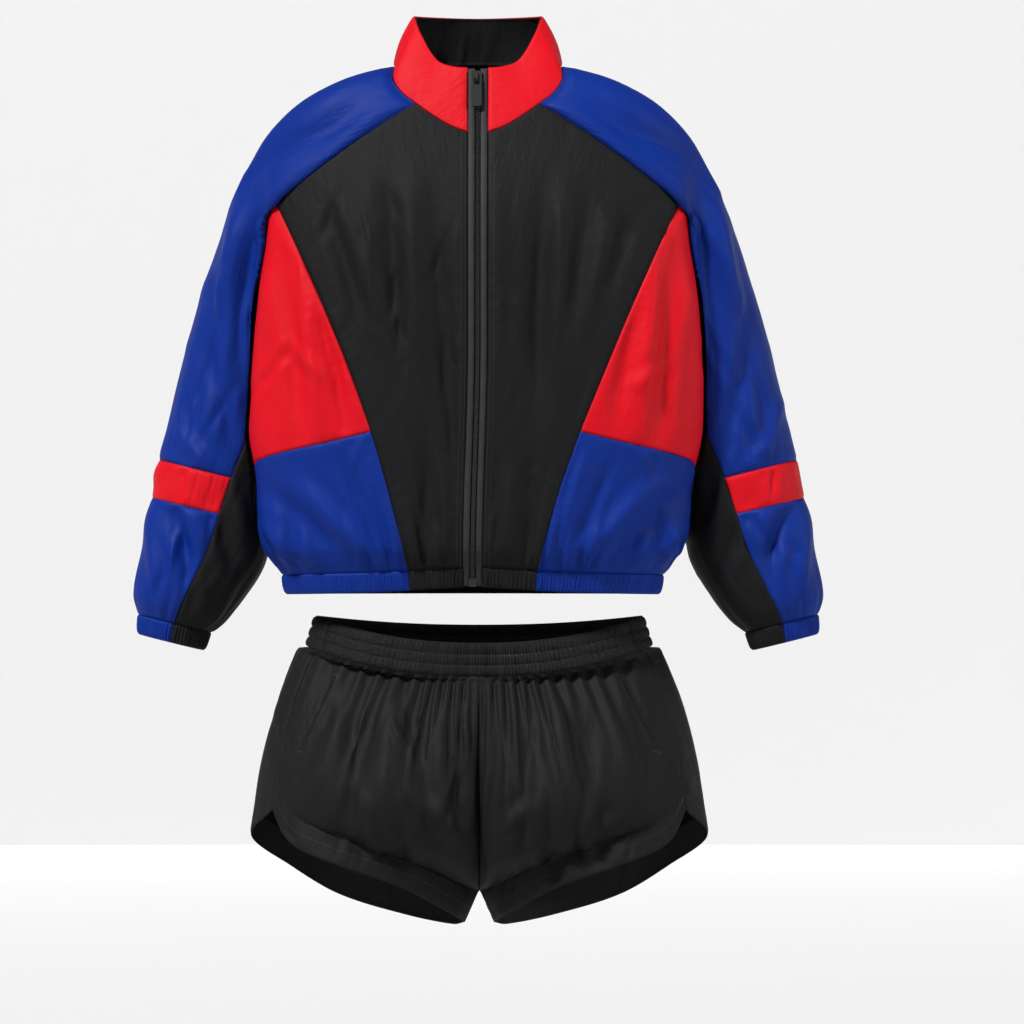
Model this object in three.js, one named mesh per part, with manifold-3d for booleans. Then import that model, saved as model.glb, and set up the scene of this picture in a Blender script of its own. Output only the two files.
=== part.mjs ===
// Tracksuit: a zip track jacket with raglan sleeves and a pair of running shorts, filled out with no wearer.
// Millimetres. Origin: centre of the neck base. +X is the right of the front view, -Y is the front, +Z is up.
import * as THREE from "three";
import { mergeVertices } from "three/addons/utils/BufferGeometryUtils.js";
import Module from "manifold-3d";

const wasm = await Module();
wasm.setup();

// Cloth and seams
const CLOTH = 2;              // wall of one cloth panel
const BAND_CLOTH = 2.6;       // wall of a gathered elastic band
const SEAM_HALF = 0.24;       // how far each piece stays back from the middle of a seam
const SLEEVE_CLEAR = 5;       // least distance between a hanging sleeve and the body
const MITRE_LIMIT = 0.05;     // two walls share a seam direction where their normals' product is above this

// Jacket heights
const NECK_FRONT_Z = -77;     // neck seam at the zip
const NECK_BACK_Z = 7;        // neck seam at the centre back
const HEM_SEAM_Z = -552;      // seam between body and hem band, at the zip
const HEM_BAND = 21;          // height of the hem band
const HEM_DROP = 8;           // how much lower the hem lies at the sides than at the zip
const ZIP_HALF = 11;          // half the width of the open strip between the front edges
const COIL_HALF = 2.6;        // half the width of the zip coil
const ZIP_TOP_Z = -6;         // top of the zip tapes
const SIDE_SEAM_DEG = 104;    // side seam, measured round from the front
const BODY_LEAN = 5.5;        // the hem lies this far to the left of the neck
const LEAN_START_Z = -300;

// Sections of the jacket body: half width, and how far the front, widest line and back lie along Y
const BODY = [
  { z: 14, half: 78, front: -58, wide: 0, back: 56 },
  { z: 0, half: 93, front: -66, wide: 0, back: 66 },
  { z: -20, half: 150, front: -74, wide: 0, back: 82 },
  { z: -43, half: 186, front: -83, wide: -2, back: 95 },
  { z: -77, half: 226, front: -97, wide: -5, back: 107 },
  { z: -115, half: 236, front: -113, wide: -12, back: 115 },
  { z: -154, half: 234, front: -126, wide: -22, back: 120 },
  { z: -200, half: 233, front: -135, wide: -30, back: 121 },
  { z: -260, half: 241, front: -139, wide: -34, back: 119 },
  { z: -310, half: 245, front: -140, wide: -36, back: 116 },
  { z: -370, half: 247, front: -139, wide: -36, back: 112 },
  { z: -410, half: 247, front: -137, wide: -34, back: 108 },
  { z: -455, half: 239, front: -133, wide: -31, back: 104 },
  { z: -500, half: 235, front: -129, wide: -28, back: 101 },
  { z: -530, half: 229, front: -124, wide: -26, back: 98 },
  { z: -545, half: 218, front: -116, wide: -24, back: 93 },
  { z: -556, half: 210, front: -110, wide: -22, back: 89 },
  { z: -590, half: 203, front: -105, wide: -20, back: 85 },
];
const FRONT_POWER = 2.5;      // fullness of the section in front of the widest line
const BACK_POWER = 2.05;      // and behind it

// Seam points on the front, as distance from the zip and height
const NECK_CORNER = { x: 67, z: -43 };
const RAGLAN_TIP = { x: 221, z: -154 };
const RED_CORNER = { x: 114, z: -403 };
const BLUE_FOOT = { x: 71, z: -553 };
const RED_SIDE_Z = -443;      // red and blue side panels meet here at the side
const ARMPIT = { deg: 104, z: -196 };
const BACK_NECK_DEG = 138;    // back raglan seam meets the neck here

// Grid counts
const NECK_COLS = 4;          // front neck, from the zip to the raglan corner
const SIDE_NECK_COLS = 3;     // neck from the raglan corner to the side
const RAGLAN_COLS = 6;        // raglan seam, from the neck to its tip
const TIP_COLS = 3;           // from the tip to the gore
const GORE_COLS = 2;          // half the gore at the armpit
const BACK_NECK_COLS = 6;     // back neck, between the raglan corners
const RED_ROWS = 9;
const BLUE_ROWS = 6;
const SIDE_COLS = TIP_COLS + GORE_COLS;

// Largest folds of the front, as troughs (negative) and ridges from one point to another
const BODY_FOLDS = [
  { x1: -48, z1: -150, x2: -40, z2: -420, width: 20, depth: -5 },
  { x1: 72, z1: -140, x2: 66, z2: -400, width: 22, depth: -5 },
  { x1: -120, z1: -170, x2: -70, z2: -380, width: 18, depth: -3.5 },
  { x1: 128, z1: -180, x2: 84, z2: -390, width: 18, depth: 3.5 },
  { x1: -205, z1: -215, x2: -150, z2: -395, width: 18, depth: -4 },
  { x1: 206, z1: -220, x2: 168, z2: -400, width: 18, depth: -4 },
  { x1: -215, z1: -470, x2: -120, z2: -540, width: 16, depth: -6 },
  { x1: 200, z1: -470, x2: 120, z2: -540, width: 16, depth: -6 },
];
const GATHER_DEPTH = 3;       // alternate columns above the hem band move this far in and out
const GATHER_REACH = 80;      // height over which they fade out

// Small vector tools
const add = (a, b, k = 1) => [a[0] + b[0] * k, a[1] + b[1] * k, a[2] + b[2] * k];
const sub = (a, b) => add(a, b, -1);
const dot = (a, b) => a[0] * b[0] + a[1] * b[1] + a[2] * b[2];
const cross = (a, b) => [
  a[1] * b[2] - a[2] * b[1],
  a[2] * b[0] - a[0] * b[2],
  a[0] * b[1] - a[1] * b[0],
];
const length = (a) => Math.sqrt(dot(a, a));
const unit = (a) => add([0, 0, 0], a, 1 / (length(a) || 1));
const mix = (a, b, t) => a.map((value, k) => value + (b[k] - value) * t);
const radians = (degrees) => (degrees * Math.PI) / 180;
const clamp = (value, low = 0, high = 1) => Math.min(high, Math.max(low, value));
const ease = (value) => clamp(value) ** 2 * (3 - 2 * clamp(value));

// A smooth reading of one column of a table, by another column that rises or falls steadily
function column(table, by, name) {
  const rows = [...table].sort((a, b) => a[by] - b[by]);
  const slopes = rows.map((row, i) => {
    const low = rows[Math.max(i - 1, 0)];
    const high = rows[Math.min(i + 1, rows.length - 1)];
    return (high[name] - low[name]) / (high[by] - low[by]);
  });
  return (at) => {
    const value = clamp(at, rows[0][by], rows[rows.length - 1][by]);
    let i = rows.findIndex((row) => row[by] >= value);
    i = Math.max(i, 1);
    const span = rows[i][by] - rows[i - 1][by];
    const t = (value - rows[i - 1][by]) / span;
    const h = [2 * t ** 3 - 3 * t ** 2 + 1, t ** 3 - 2 * t ** 2 + t, 3 * t ** 2 - 2 * t ** 3, t ** 3 - t ** 2];
    return h[0] * rows[i - 1][name] + h[1] * span * slopes[i - 1]
      + h[2] * rows[i][name] + h[3] * span * slopes[i];
  };
}

// Distance from a point to a segment in a plane, with the place along it from 0 to 1
function besideSegment(x, z, fold) {
  const along = [fold.x2 - fold.x1, fold.z2 - fold.z1];
  const from = [x - fold.x1, z - fold.z1];
  const t = (from[0] * along[0] + from[1] * along[1]) / (along[0] ** 2 + along[1] ** 2);
  const near = clamp(t);
  return { t, distance: Math.hypot(from[0] - near * along[0], from[1] - near * along[1]) };
}

// Height of all the folds of a table at one place
function foldHeight(x, z, folds) {
  return folds.reduce((sum, fold) => {
    const { t, distance } = besideSegment(x, z, fold);
    const taper = ease(1.2 - Math.abs(t - 0.5) * 2);
    return sum + fold.depth * taper * Math.exp(-((distance / fold.width) ** 2));
  }, 0);
}

// Body of the jacket
const bodyHalf = column(BODY, "z", "half");
const bodyFront = column(BODY, "z", "front");
const bodyWide = column(BODY, "z", "wide");
const bodyBack = column(BODY, "z", "back");
const bodyLean = (z) => -BODY_LEAN * ease((LEAN_START_Z - z) / (LEAN_START_Z - HEM_SEAM_Z));

// Plan radius of a rounded section at an angle from the front
function sectionRadius(angle, half, frontDepth, backDepth) {
  const ahead = Math.cos(angle) > 0;
  const depth = ahead ? frontDepth : backDepth;
  const power = ahead ? FRONT_POWER : BACK_POWER;
  const sum = (Math.abs(Math.sin(angle)) / half) ** power + (Math.abs(Math.cos(angle)) / depth) ** power;
  return sum ** (-1 / power);
}

// Point of the body at an angle and height, moved out from its plain section
function bodyPlain(angle, z, out = 0) {
  const wide = bodyWide(z);
  const radius = sectionRadius(angle, bodyHalf(z), wide - bodyFront(z), bodyBack(z) - wide) + out;
  return [bodyLean(z) + radius * Math.sin(angle), wide - radius * Math.cos(angle), z];
}

function bodyPoint(angle, z) {
  const plain = bodyPlain(angle, z);
  const ahead = ease(Math.cos(angle) * 4 + 1);
  const nearZip = ease((Math.abs(plain[0]) - ZIP_HALF) / 25);
  return bodyPlain(angle, z, foldHeight(plain[0], z, BODY_FOLDS) * ahead * nearZip);
}

// Angle at which the body lies a given distance from the zip line, on the front
function bodyAngle(x, z) {
  let low = 0;
  let high = Math.PI / 2;
  for (let step = 0; step < 40; step += 1) {
    const middle = (low + high) / 2;
    const reach = bodyPlain(middle, z)[0] - bodyLean(z);
    if (reach < Math.abs(x)) low = middle;
    else high = middle;
  }
  return low * Math.sign(x || 1);
}

// Neck seam height round the neck
function neckHeight(angle) {
  const c = Math.cos(angle);
  return c > 0 ? NECK_FRONT_Z * c ** 2 : NECK_BACK_Z * (-c) ** 1.5;
}
const neckPair = (angle) => [angle, neckHeight(angle)];

// Hem seam height round the body
const hemHeight = (angle) => HEM_SEAM_Z - HEM_DROP * ease(Math.abs(Math.sin(angle / 2)) * 1.35);

// A list of count + 1 values from 0 to 1
const steps = (count) => Array.from({ length: count + 1 }, (unused, i) => i / count);

// A grid of points between four edges, each a list of [angle, height] pairs; left and right run upwards
function betweenEdges({ bottom, top, left, right }) {
  const cols = bottom.length - 1;
  const rows = left.length - 1;
  const corner = [bottom[0], bottom[cols], top[0], top[cols]];
  return left.map((unused, j) => bottom.map((alsoUnused, i) => {
    const u = i / cols;
    const v = j / rows;
    return [0, 1].map((k) => bottom[i][k] * (1 - v) + top[i][k] * v + left[j][k] * (1 - u) + right[j][k] * u
      - (corner[0][k] * (1 - u) * (1 - v) + corner[1][k] * u * (1 - v)
        + corner[2][k] * (1 - u) * v + corner[3][k] * u * v));
  }));
}

// Moves the edge points of a grid back from its seams; sides names the edges that meet another piece
function setBack(grid, sides, amount = SEAM_HALF) {
  const rows = grid.length - 1;
  const cols = grid[0].length - 1;
  const result = grid.map((row) => row.map((point) => [...point]));
  const shift = (j, i, inJ, inI, beforeJ, beforeI, afterJ, afterI) => {
    const along = unit(sub(grid[afterJ][afterI], grid[beforeJ][beforeI]));
    const inward = sub(grid[inJ][inI], grid[j][i]);
    const across = unit(add(inward, along, -dot(inward, along)));
    result[j][i] = add(result[j][i], across, amount);
  };
  for (let i = 0; i <= cols; i += 1) {
    const before = Math.max(i - 1, 0);
    const after = Math.min(i + 1, cols);
    if (sides.includes("bottom")) shift(0, i, 1, i, 0, before, 0, after);
    if (sides.includes("top")) shift(rows, i, rows - 1, i, rows, before, rows, after);
  }
  for (let j = 0; j <= rows; j += 1) {
    const before = Math.max(j - 1, 0);
    const after = Math.min(j + 1, rows);
    if (sides.includes("left")) shift(j, 0, j, 1, before, 0, after, 0);
    if (sides.includes("right")) shift(j, cols, j, cols - 1, before, cols, after, cols);
  }
  return result;
}

// Outward normals of a grid; around says that its first and last columns meet
function gridNormals(grid, around, flip = 1) {
  const rows = grid.length - 1;
  const cols = grid[0].length - 1;
  return grid.map((row, j) => row.map((unused, i) => {
    const left = around && i === 0 ? cols - 1 : Math.max(i - 1, 0);
    const right = around && i === cols ? 1 : Math.min(i + 1, cols);
    const across = sub(grid[j][right], grid[j][left]);
    const up = sub(grid[Math.min(j + 1, rows)][i], grid[Math.max(j - 1, 0)][i]);
    return add([0, 0, 0], unit(cross(across, up)), flip);
  }));
}

// Closed wall between a grid and its copy moved in along the normals
function wallGeometry(grid, normals, thickness, around = false) {
  const rows = grid.length - 1;
  const cols = grid[0].length - 1;
  const positions = [];
  grid.forEach((row) => row.forEach((point) => positions.push(...point)));
  const second = positions.length / 3;
  grid.forEach((row, j) => row.forEach((point, i) => positions.push(...add(point, normals[j][i], -thickness))));
  const columns = around ? cols : cols + 1;
  const at = (j, i) => j * (cols + 1) + (around ? i % columns : i);
  const faces = [];
  const quad = (a, b, c, d) => faces.push([a, b, c], [a, c, d]);
  for (let j = 0; j < rows; j += 1) {
    for (let i = 0; i < cols; i += 1) {
      quad(at(j, i), at(j, i + 1), at(j + 1, i + 1), at(j + 1, i));
      quad(second + at(j, i), second + at(j + 1, i), second + at(j + 1, i + 1), second + at(j, i + 1));
    }
  }
  // Both walls at a seam split their edge faces the same way, from the same end
  const rank = (k) => positions[3 * k] + 2 * positions[3 * k + 1] + 3 * positions[3 * k + 2];
  const edge = (a, b) => {
    if (rank(a) < rank(b)) faces.push([a, b, second + b], [a, second + b, second + a]);
    else faces.push([a, b, second + a], [b, second + b, second + a]);
  };
  for (let i = 0; i < cols; i += 1) {
    edge(at(0, i + 1), at(0, i));
    edge(at(rows, i), at(rows, i + 1));
  }
  for (let j = 0; j < rows && !around; j += 1) {
    edge(at(j, 0), at(j + 1, 0));
    edge(at(j + 1, cols), at(j, cols));
  }
  const middle = [Math.floor(rows / 2), Math.floor(cols / 2)];
  const face = cross(
    sub(grid[middle[0]][middle[1] + 1] ?? grid[middle[0]][middle[1] - 1], grid[middle[0]][middle[1]]),
    sub(grid[middle[0] + 1]?.[middle[1]] ?? grid[middle[0]][middle[1]], grid[middle[0]][middle[1]]),
  );
  const turned = dot(face, normals[middle[0]][middle[1]]) < 0;
  const index = faces.flatMap(([a, b, c]) => (turned ? [a, c, b] : [a, b, c]));
  const geometry = new THREE.BufferGeometry();
  geometry.setAttribute("position", new THREE.Float32BufferAttribute(positions, 3));
  geometry.setIndex(index);
  return geometry;
}

// Finishes of the materials
const FINISH = {
  black: { color: 0x1c1c1e, roughness: 0.62, metalness: 0 },
  red: { color: 0xc8161f, roughness: 0.55, metalness: 0 },
  blue: { color: 0x0b2a86, roughness: 0.58, metalness: 0 },
  tape: { color: 0x131314, roughness: 0.8, metalness: 0 },
  metal: { color: 0x2a2a2c, roughness: 0.35, metalness: 0.6 },
};

const tracksuit = new THREE.Group();
const sheets = [];

function addMesh(name, geometry, finish) {
  const mesh = new THREE.Mesh(geometry, new THREE.MeshStandardMaterial(FINISH[finish]));
  mesh.name = name;
  tracksuit.add(mesh);
}

// A sheet waits here until all are known, because walls that meet at a seam share its direction
function addSheet(name, finish, grid, normals, sides, thickness = CLOTH, around = false) {
  sheets.push({ name, finish, grid, normals, sides, thickness, around });
}

// Gives seam points of different sheets one normal, unless the seam is a sharp inward corner
function shareSeamNormals() {
  const places = new Map();
  const key = (point) => point.map((value) => Math.round(value * 5)).join(" ");
  sheets.forEach((sheet) => sheet.grid.forEach((row, j) => row.forEach((point, i) => {
    const onEdge = j === 0 || i === 0 || j === sheet.grid.length - 1 || i === row.length - 1;
    if (!onEdge) return;
    if (!places.has(key(point))) places.set(key(point), []);
    places.get(key(point)).push({ sheet, j, i });
  })));
  places.forEach((list) => {
    const normals = list.map(({ sheet, j, i }) => sheet.normals[j][i]);
    const sum = normals.reduce((total, normal) => add(total, normal), [0, 0, 0]);
    if (length(sum) < MITRE_LIMIT || normals.some((normal) => dot(normal, unit(sum)) < 0.3)) return;
    list.forEach(({ sheet, j, i }) => { sheet.normals[j][i] = unit(sum); });
  });
}

// Jacket seams, as [angle, height] lists
const placed = (side, x, z) => [bodyAngle(side * x, z), z];
const SIDE = radians(SIDE_SEAM_DEG);

function seams(side) {
  const zipAngle = bodyAngle(side * ZIP_HALF, NECK_FRONT_Z);
  const cornerAngle = bodyAngle(side * NECK_CORNER.x, NECK_CORNER.z);
  const neck = steps(NECK_COLS).map((t) => neckPair(zipAngle + (cornerAngle - zipAngle) * t));
  const corner = neck[NECK_COLS];
  const raglan = steps(RAGLAN_COLS).map((t) => {
    const x = NECK_CORNER.x + (RAGLAN_TIP.x - NECK_CORNER.x) * t;
    return placed(side, x, corner[1] + (RAGLAN_TIP.z - corner[1]) * (0.8 * t + 0.2 * t ** 2));
  });
  raglan[0] = corner;
  const front = steps(RED_ROWS).map((t) => {
    const bend = 4 * t * (1 - t);
    const x = RAGLAN_TIP.x + (RED_CORNER.x - RAGLAN_TIP.x) * t;
    const z = RAGLAN_TIP.z + (RED_CORNER.z - RAGLAN_TIP.z) * t;
    return placed(side, x - 4 * bend, z);
  }).reverse();
  const lower = steps(BLUE_ROWS).map((t) => {
    const z = RED_CORNER.z + (BLUE_FOOT.z - RED_CORNER.z) * t;
    const x = RED_CORNER.x + (BLUE_FOOT.x - RED_CORNER.x) * (1.25 * t - 0.25 * t ** 2);
    return placed(side, x, z);
  }).reverse();
  const tip = raglan[RAGLAN_COLS];
  const armpit = [side * SIDE, ARMPIT.z];
  const gore = [side * radians(94), ARMPIT.z + 8];
  const underarm = [tip, ...steps(TIP_COLS).slice(1).map((t) => mix(tip, gore, t)),
    ...steps(GORE_COLS).slice(1).map((t) => mix(gore, armpit, t))];
  const backCorner = [side * radians(BACK_NECK_DEG), neckHeight(radians(BACK_NECK_DEG))];
  const backGore = [side * radians(114), ARMPIT.z + 8];
  const backRaglan = [...steps(GORE_COLS).map((t) => mix(armpit, backGore, t)),
    ...steps(RAGLAN_COLS + TIP_COLS).slice(1).map((t) => {
      const angle = backGore[0] + (backCorner[0] - backGore[0]) * (0.55 * t + 0.45 * t ** 2);
      return [angle, backGore[1] + (backCorner[1] - backGore[1]) * (1.15 * t - 0.15 * t ** 2)];
    })];
  return { corner, neck, raglan, front, lower, armpit, underarm, backCorner, backRaglan };
}

// Grid of body points and normals from a grid of [angle, height]
function bodySheet(name, finish, edges, sides, gatherSign = 0) {
  const flat = betweenEdges(edges);
  const cols = flat[0].length - 1;
  const outward = (angle, z) => {
    const across = sub(bodyPoint(angle + 0.01, z), bodyPoint(angle - 0.01, z));
    const up = sub(bodyPoint(angle, z + 1), bodyPoint(angle, z - 1));
    return unit(cross(across, up));
  };
  const normals = flat.map((row) => row.map(([angle, z]) => outward(angle, z)));
  const grid = flat.map((row, j) => row.map(([angle, z], i) => {
    const point = bodyPoint(angle, z);
    const inside = j > 0 && i > 0 && i < cols;
    const fade = ease((HEM_SEAM_Z + GATHER_REACH - z) / GATHER_REACH);
    const wave = inside ? gatherSign * GATHER_DEPTH * fade * (i % 2 ? 1 : -1) : 0;
    return add(point, normals[j][i], wave);
  }));
  addSheet(name, finish, grid, normals, sides);
  return grid;
}

const NAMES = { "-1": "left", "1": "right" };
const hemLine = (from, to, count) => steps(count).map((t) => {
  const angle = from + (to - from) * t;
  return [angle, hemHeight(angle)];
});

// Top edge of the red side panel: the underarm stretch of the sleeve seam
const armholeEdge = (s) => s.underarm;

function jacketSide(side) {
  const s = seams(side);
  const frontCols = NECK_COLS + RAGLAN_COLS;
  const zipLine = steps(RED_ROWS + BLUE_ROWS).map((t) => {
    const bottom = hemHeight(0);
    const z = bottom + (s.neck[0][1] - bottom) * t;
    return placed(side, ZIP_HALF, z);
  });
  const foot = [s.lower[0][0], hemHeight(s.lower[0][0])];
  s.lower[0] = foot;
  bodySheet(`front_${NAMES[side]}`, "black", {
    bottom: hemLine(zipLine[0][0], foot[0], frontCols),
    top: [...s.neck, ...s.raglan.slice(1)],
    left: zipLine,
    right: [...s.lower, ...s.front.slice(1)],
  }, ["bottom", "top", "left", "right"], 1);
  const redSide = [side * SIDE, RED_SIDE_Z];
  const armCols = SIDE_COLS;
  const redBottom = steps(armCols).map((t) => mix(s.front[0], redSide, t));
  bodySheet(`side_red_${NAMES[side]}`, "red", {
    bottom: redBottom,
    top: armholeEdge(s),
    left: s.front,
    right: steps(RED_ROWS).map((t) => mix(redSide, s.armpit, t)),
  }, ["bottom", "top", "left", "right"]);
  bodySheet(`side_blue_${NAMES[side]}`, "blue", {
    bottom: hemLine(foot[0], side * SIDE, armCols),
    top: redBottom,
    left: s.lower,
    right: steps(BLUE_ROWS).map((t) => mix([side * SIDE, hemHeight(SIDE)], redSide, t)),
  }, ["bottom", "top", "left", "right"], 1);
  return { ...s, foot, redSide };
}

// Back of the jacket, from the right side seam round to the left one
function jacketBack(right) {
  const turn = ([angle, z]) => [2 * Math.PI - angle, z];
  const neckSpan = Math.PI - right.backCorner[0];
  const neck = steps(BACK_NECK_COLS).map((t) => neckPair(right.backCorner[0] + 2 * neckSpan * t));
  const top = [...right.backRaglan, ...neck.slice(1), ...right.backRaglan.slice(0, -1).reverse().map(turn)];
  const sideLine = [
    ...steps(BLUE_ROWS).map((t) => mix([SIDE, hemHeight(SIDE)], right.redSide, t)),
    ...steps(RED_ROWS).slice(1).map((t) => mix(right.redSide, right.armpit, t)),
  ];
  bodySheet("back", "black", {
    bottom: hemLine(SIDE, 2 * Math.PI - SIDE, top.length - 1),
    top,
    left: sideLine,
    right: sideLine.map(turn),
  }, ["bottom", "top", "left", "right"], 1);
}

// Hem band: gathered ribs on the body's lower edge
const RIB_HEIGHT = 1.1;
const BAND_ROWS = [0, 0.22, 0.78, 1];
const HEM_FRONT_COLS = 6;
const HEM_SIDE_COLS = 16;
const HEM_BACK_COLS = 34;

function bandSheet(name, finish, from, to, cols) {
  const plan = BAND_ROWS.map((v) => steps(cols).map((t) => {
    const angle = from + (to - from) * t;
    return [angle, hemHeight(angle) - HEM_BAND * (1 - v), v];
  }));
  const grid = plan.map((row) => row.map(([angle, z, v], i) => {
    const rib = i > 0 && i < cols && i % 2 ? RIB_HEIGHT * (v > 0.1 && v < 0.9 ? 1 : 0.4) : 0;
    return bodyPlain(angle, z, rib);
  }));
  const normals = plan.map((row) => row.map(([angle]) => unit([Math.sin(angle), -Math.cos(angle), 0])));
  addSheet(name, finish, grid, normals, ["bottom", "top", "left", "right"], BAND_CLOTH);
}

function hemBand(right, left) {
  const zipAngle = bodyAngle(ZIP_HALF, HEM_SEAM_Z);
  const rightFoot = right.foot[0];
  const leftFoot = left.foot[0];
  bandSheet("hem_front_right", "black", zipAngle, rightFoot, HEM_FRONT_COLS);
  bandSheet("hem_front_left", "black", leftFoot, -zipAngle, HEM_FRONT_COLS);
  bandSheet("hem_side_right", "blue", rightFoot, SIDE, HEM_SIDE_COLS);
  bandSheet("hem_side_left", "blue", -SIDE, leftFoot, HEM_SIDE_COLS);
  bandSheet("hem_back", "black", SIDE, 2 * Math.PI - SIDE, HEM_BACK_COLS);
}

// Stand collar: plan of its top edge, and the top edge's height round the neck
const COLLAR_TOP = { half: 71, front: 70, back: 55 };
const COLLAR_TOP_HEIGHT = [
  { deg: 0, z: -5 }, { deg: 20, z: -3.5 }, { deg: 34, z: 2 }, { deg: 42, z: 12 }, { deg: 54, z: 31 },
  { deg: 68, z: 47 }, { deg: 82, z: 54 }, { deg: 110, z: 56 }, { deg: 180, z: 55 },
];
const COLLAR_BULGE = 4;
const COLLAR_ROWS = 5;
const LINING = 1.5;           // wall of the inner collar
const collarTopHeight = column(COLLAR_TOP_HEIGHT, "deg", "z");
const collarStart = bodyAngle(ZIP_HALF, NECK_FRONT_Z);
const collarTopStart = Math.asin(ZIP_HALF / COLLAR_TOP.front);

function collarPoint(angle, v) {
  const folded = angle > Math.PI ? 2 * Math.PI - angle : angle;
  const side = angle > Math.PI ? -1 : 1;
  const base = bodyPoint(folded, neckHeight(folded));
  const share = (folded - collarStart) / (Math.PI - collarStart);
  const topAngle = collarTopStart + share * (Math.PI - collarTopStart);
  const radius = sectionRadius(topAngle, COLLAR_TOP.half, COLLAR_TOP.front, COLLAR_TOP.back);
  const height = collarTopHeight((topAngle * 180) / Math.PI);
  const top = [radius * Math.sin(topAngle), -radius * Math.cos(topAngle), height];
  const bulge = COLLAR_BULGE * Math.sin(Math.PI * v) * Math.abs(Math.sin(folded));
  const point = add(mix(base, top, v), [Math.sin(folded), -Math.cos(folded), 0], bulge);
  return [side * point[0], point[1], point[2]];
}

function collar(right) {
  const arc = (from, to, count) => steps(count).map((t) => from + (to - from) * t);
  const corner = right.corner[0];
  const backCorner = right.backCorner[0];
  const half = [...arc(collarStart, corner, NECK_COLS), ...arc(corner, Math.PI / 2, SIDE_NECK_COLS).slice(1),
    ...arc(Math.PI / 2, backCorner, SIDE_NECK_COLS).slice(1),
    ...arc(backCorner, Math.PI, BACK_NECK_COLS / 2).slice(1)];
  const angles = [...half, ...half.slice(0, -1).reverse().map((angle) => 2 * Math.PI - angle)];
  const grid = steps(COLLAR_ROWS).map((v) => angles.map((angle) => collarPoint(angle, v)));
  const normals = gridNormals(grid, false);
  addSheet("collar_outer", "red", grid, normals, ["bottom", "left", "right"]);
  const inner = steps(COLLAR_ROWS).map((v) => angles.map((angle) => collarPoint(angle, 0.1 + 0.9 * v)));
  const innerNormals = gridNormals(inner, false);
  const lining = inner.map((row, j) => row.map((point, i) => add(point, innerNormals[j][i], -CLOTH - 0.6)));
  addSheet("collar_inner", "black", lining, innerNormals, ["bottom", "left", "right"], LINING);
}

// Raglan sleeves. Outer line and sections in the front view; gore is the angle of the gore's front edge
const SLEEVE = [
  { z: -176, x: 281, tilt: 22, half: 50, deep: 84, y: 26, gore: 150 },
  { z: -229, x: 299, tilt: 16, half: 54, deep: 82, y: 32, gore: 135 },
  { z: -295, x: 317, tilt: 15, half: 58, deep: 78, y: 35, gore: 124 },
  { z: -361, x: 334, tilt: 14, half: 63, deep: 74, y: 36, gore: 116 },
  { z: -433, x: 352, tilt: 14, half: 67, deep: 70, y: 34, gore: 104 },
  { z: -475, x: 360, tilt: 13, half: 69, deep: 66, y: 31, gore: 98 },
  { z: -515, x: 369, tilt: 13, half: 69, deep: 61, y: 29, gore: 95 },
  { z: -559, x: 378, tilt: 13, half: 61, deep: 55, y: 27, gore: 92 },
  { z: -583, x: 380, tilt: 14, half: 53, deep: 48, y: 26, gore: 91 },
  { z: -604, x: 375, tilt: 14, half: 41.5, deep: 37, y: 26, gore: 90 },
  { z: -625, x: 375, tilt: 14, half: 37.5, deep: 34, y: 26, gore: 90 },
];
const SLEEVE_ROWS = [-176, -229, -262, -295, -328, -361, -397, -433, -475, -515, -559, -583, -604];
const BAND_TOP_Z = -433;
const BAND_BOTTOM_Z = -475;
const SHOULDER_ROWS = 5;
const SECTION_POWER = 2.15;
const sleeveAt = Object.fromEntries(["x", "tilt", "half", "deep", "y", "gore"]
  .map((name) => [name, column(SLEEVE, "z", name)]));
const MAIN_COLS = SIDE_NECK_COLS + RAGLAN_COLS + TIP_COLS;
const SLEEVE_COLS = 2 * (MAIN_COLS + GORE_COLS);

// Angle round the sleeve of a column, 0 at its outer line and growing through the front
function sleeveAngle(z, i) {
  const near = i > SLEEVE_COLS / 2 ? SLEEVE_COLS - i : i;
  const edge = radians(sleeveAt.gore(z));
  const turned = near <= MAIN_COLS
    ? (edge * near) / MAIN_COLS
    : edge + ((Math.PI - edge) * (near - MAIN_COLS)) / GORE_COLS;
  return i > SLEEVE_COLS / 2 ? 2 * Math.PI - turned : turned;
}

function sleeveSection(side, z, angle, out = 0) {
  const tilt = radians(sleeveAt.tilt(z));
  const half = sleeveAt.half(z);
  const sum = (Math.abs(Math.cos(angle)) / half) ** SECTION_POWER
    + (Math.abs(Math.sin(angle)) / sleeveAt.deep(z)) ** SECTION_POWER;
  const radius = sum ** (-1 / SECTION_POWER) + out;
  const across = radius * Math.cos(angle) - half;
  const x = sleeveAt.x(z) + across * Math.cos(tilt);
  return [side * x, sleeveAt.y(z) - radius * Math.sin(angle), z + across * Math.sin(tilt)];
}

// Keeps a sleeve point outside the body
function clearOfBody(point, clearance) {
  const [x, y, z] = point;
  const from = [x - bodyLean(z), y - bodyWide(z)];
  const angle = Math.atan2(from[0], -from[1]);
  const wide = bodyWide(z);
  const reach = sectionRadius(angle, bodyHalf(z), wide - bodyFront(z), bodyBack(z) - wide) + clearance;
  const distance = Math.hypot(from[0], from[1]);
  if (distance >= reach) return point;
  return [bodyLean(z) + (from[0] * reach) / distance, wide + (from[1] * reach) / distance, z];
}

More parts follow.
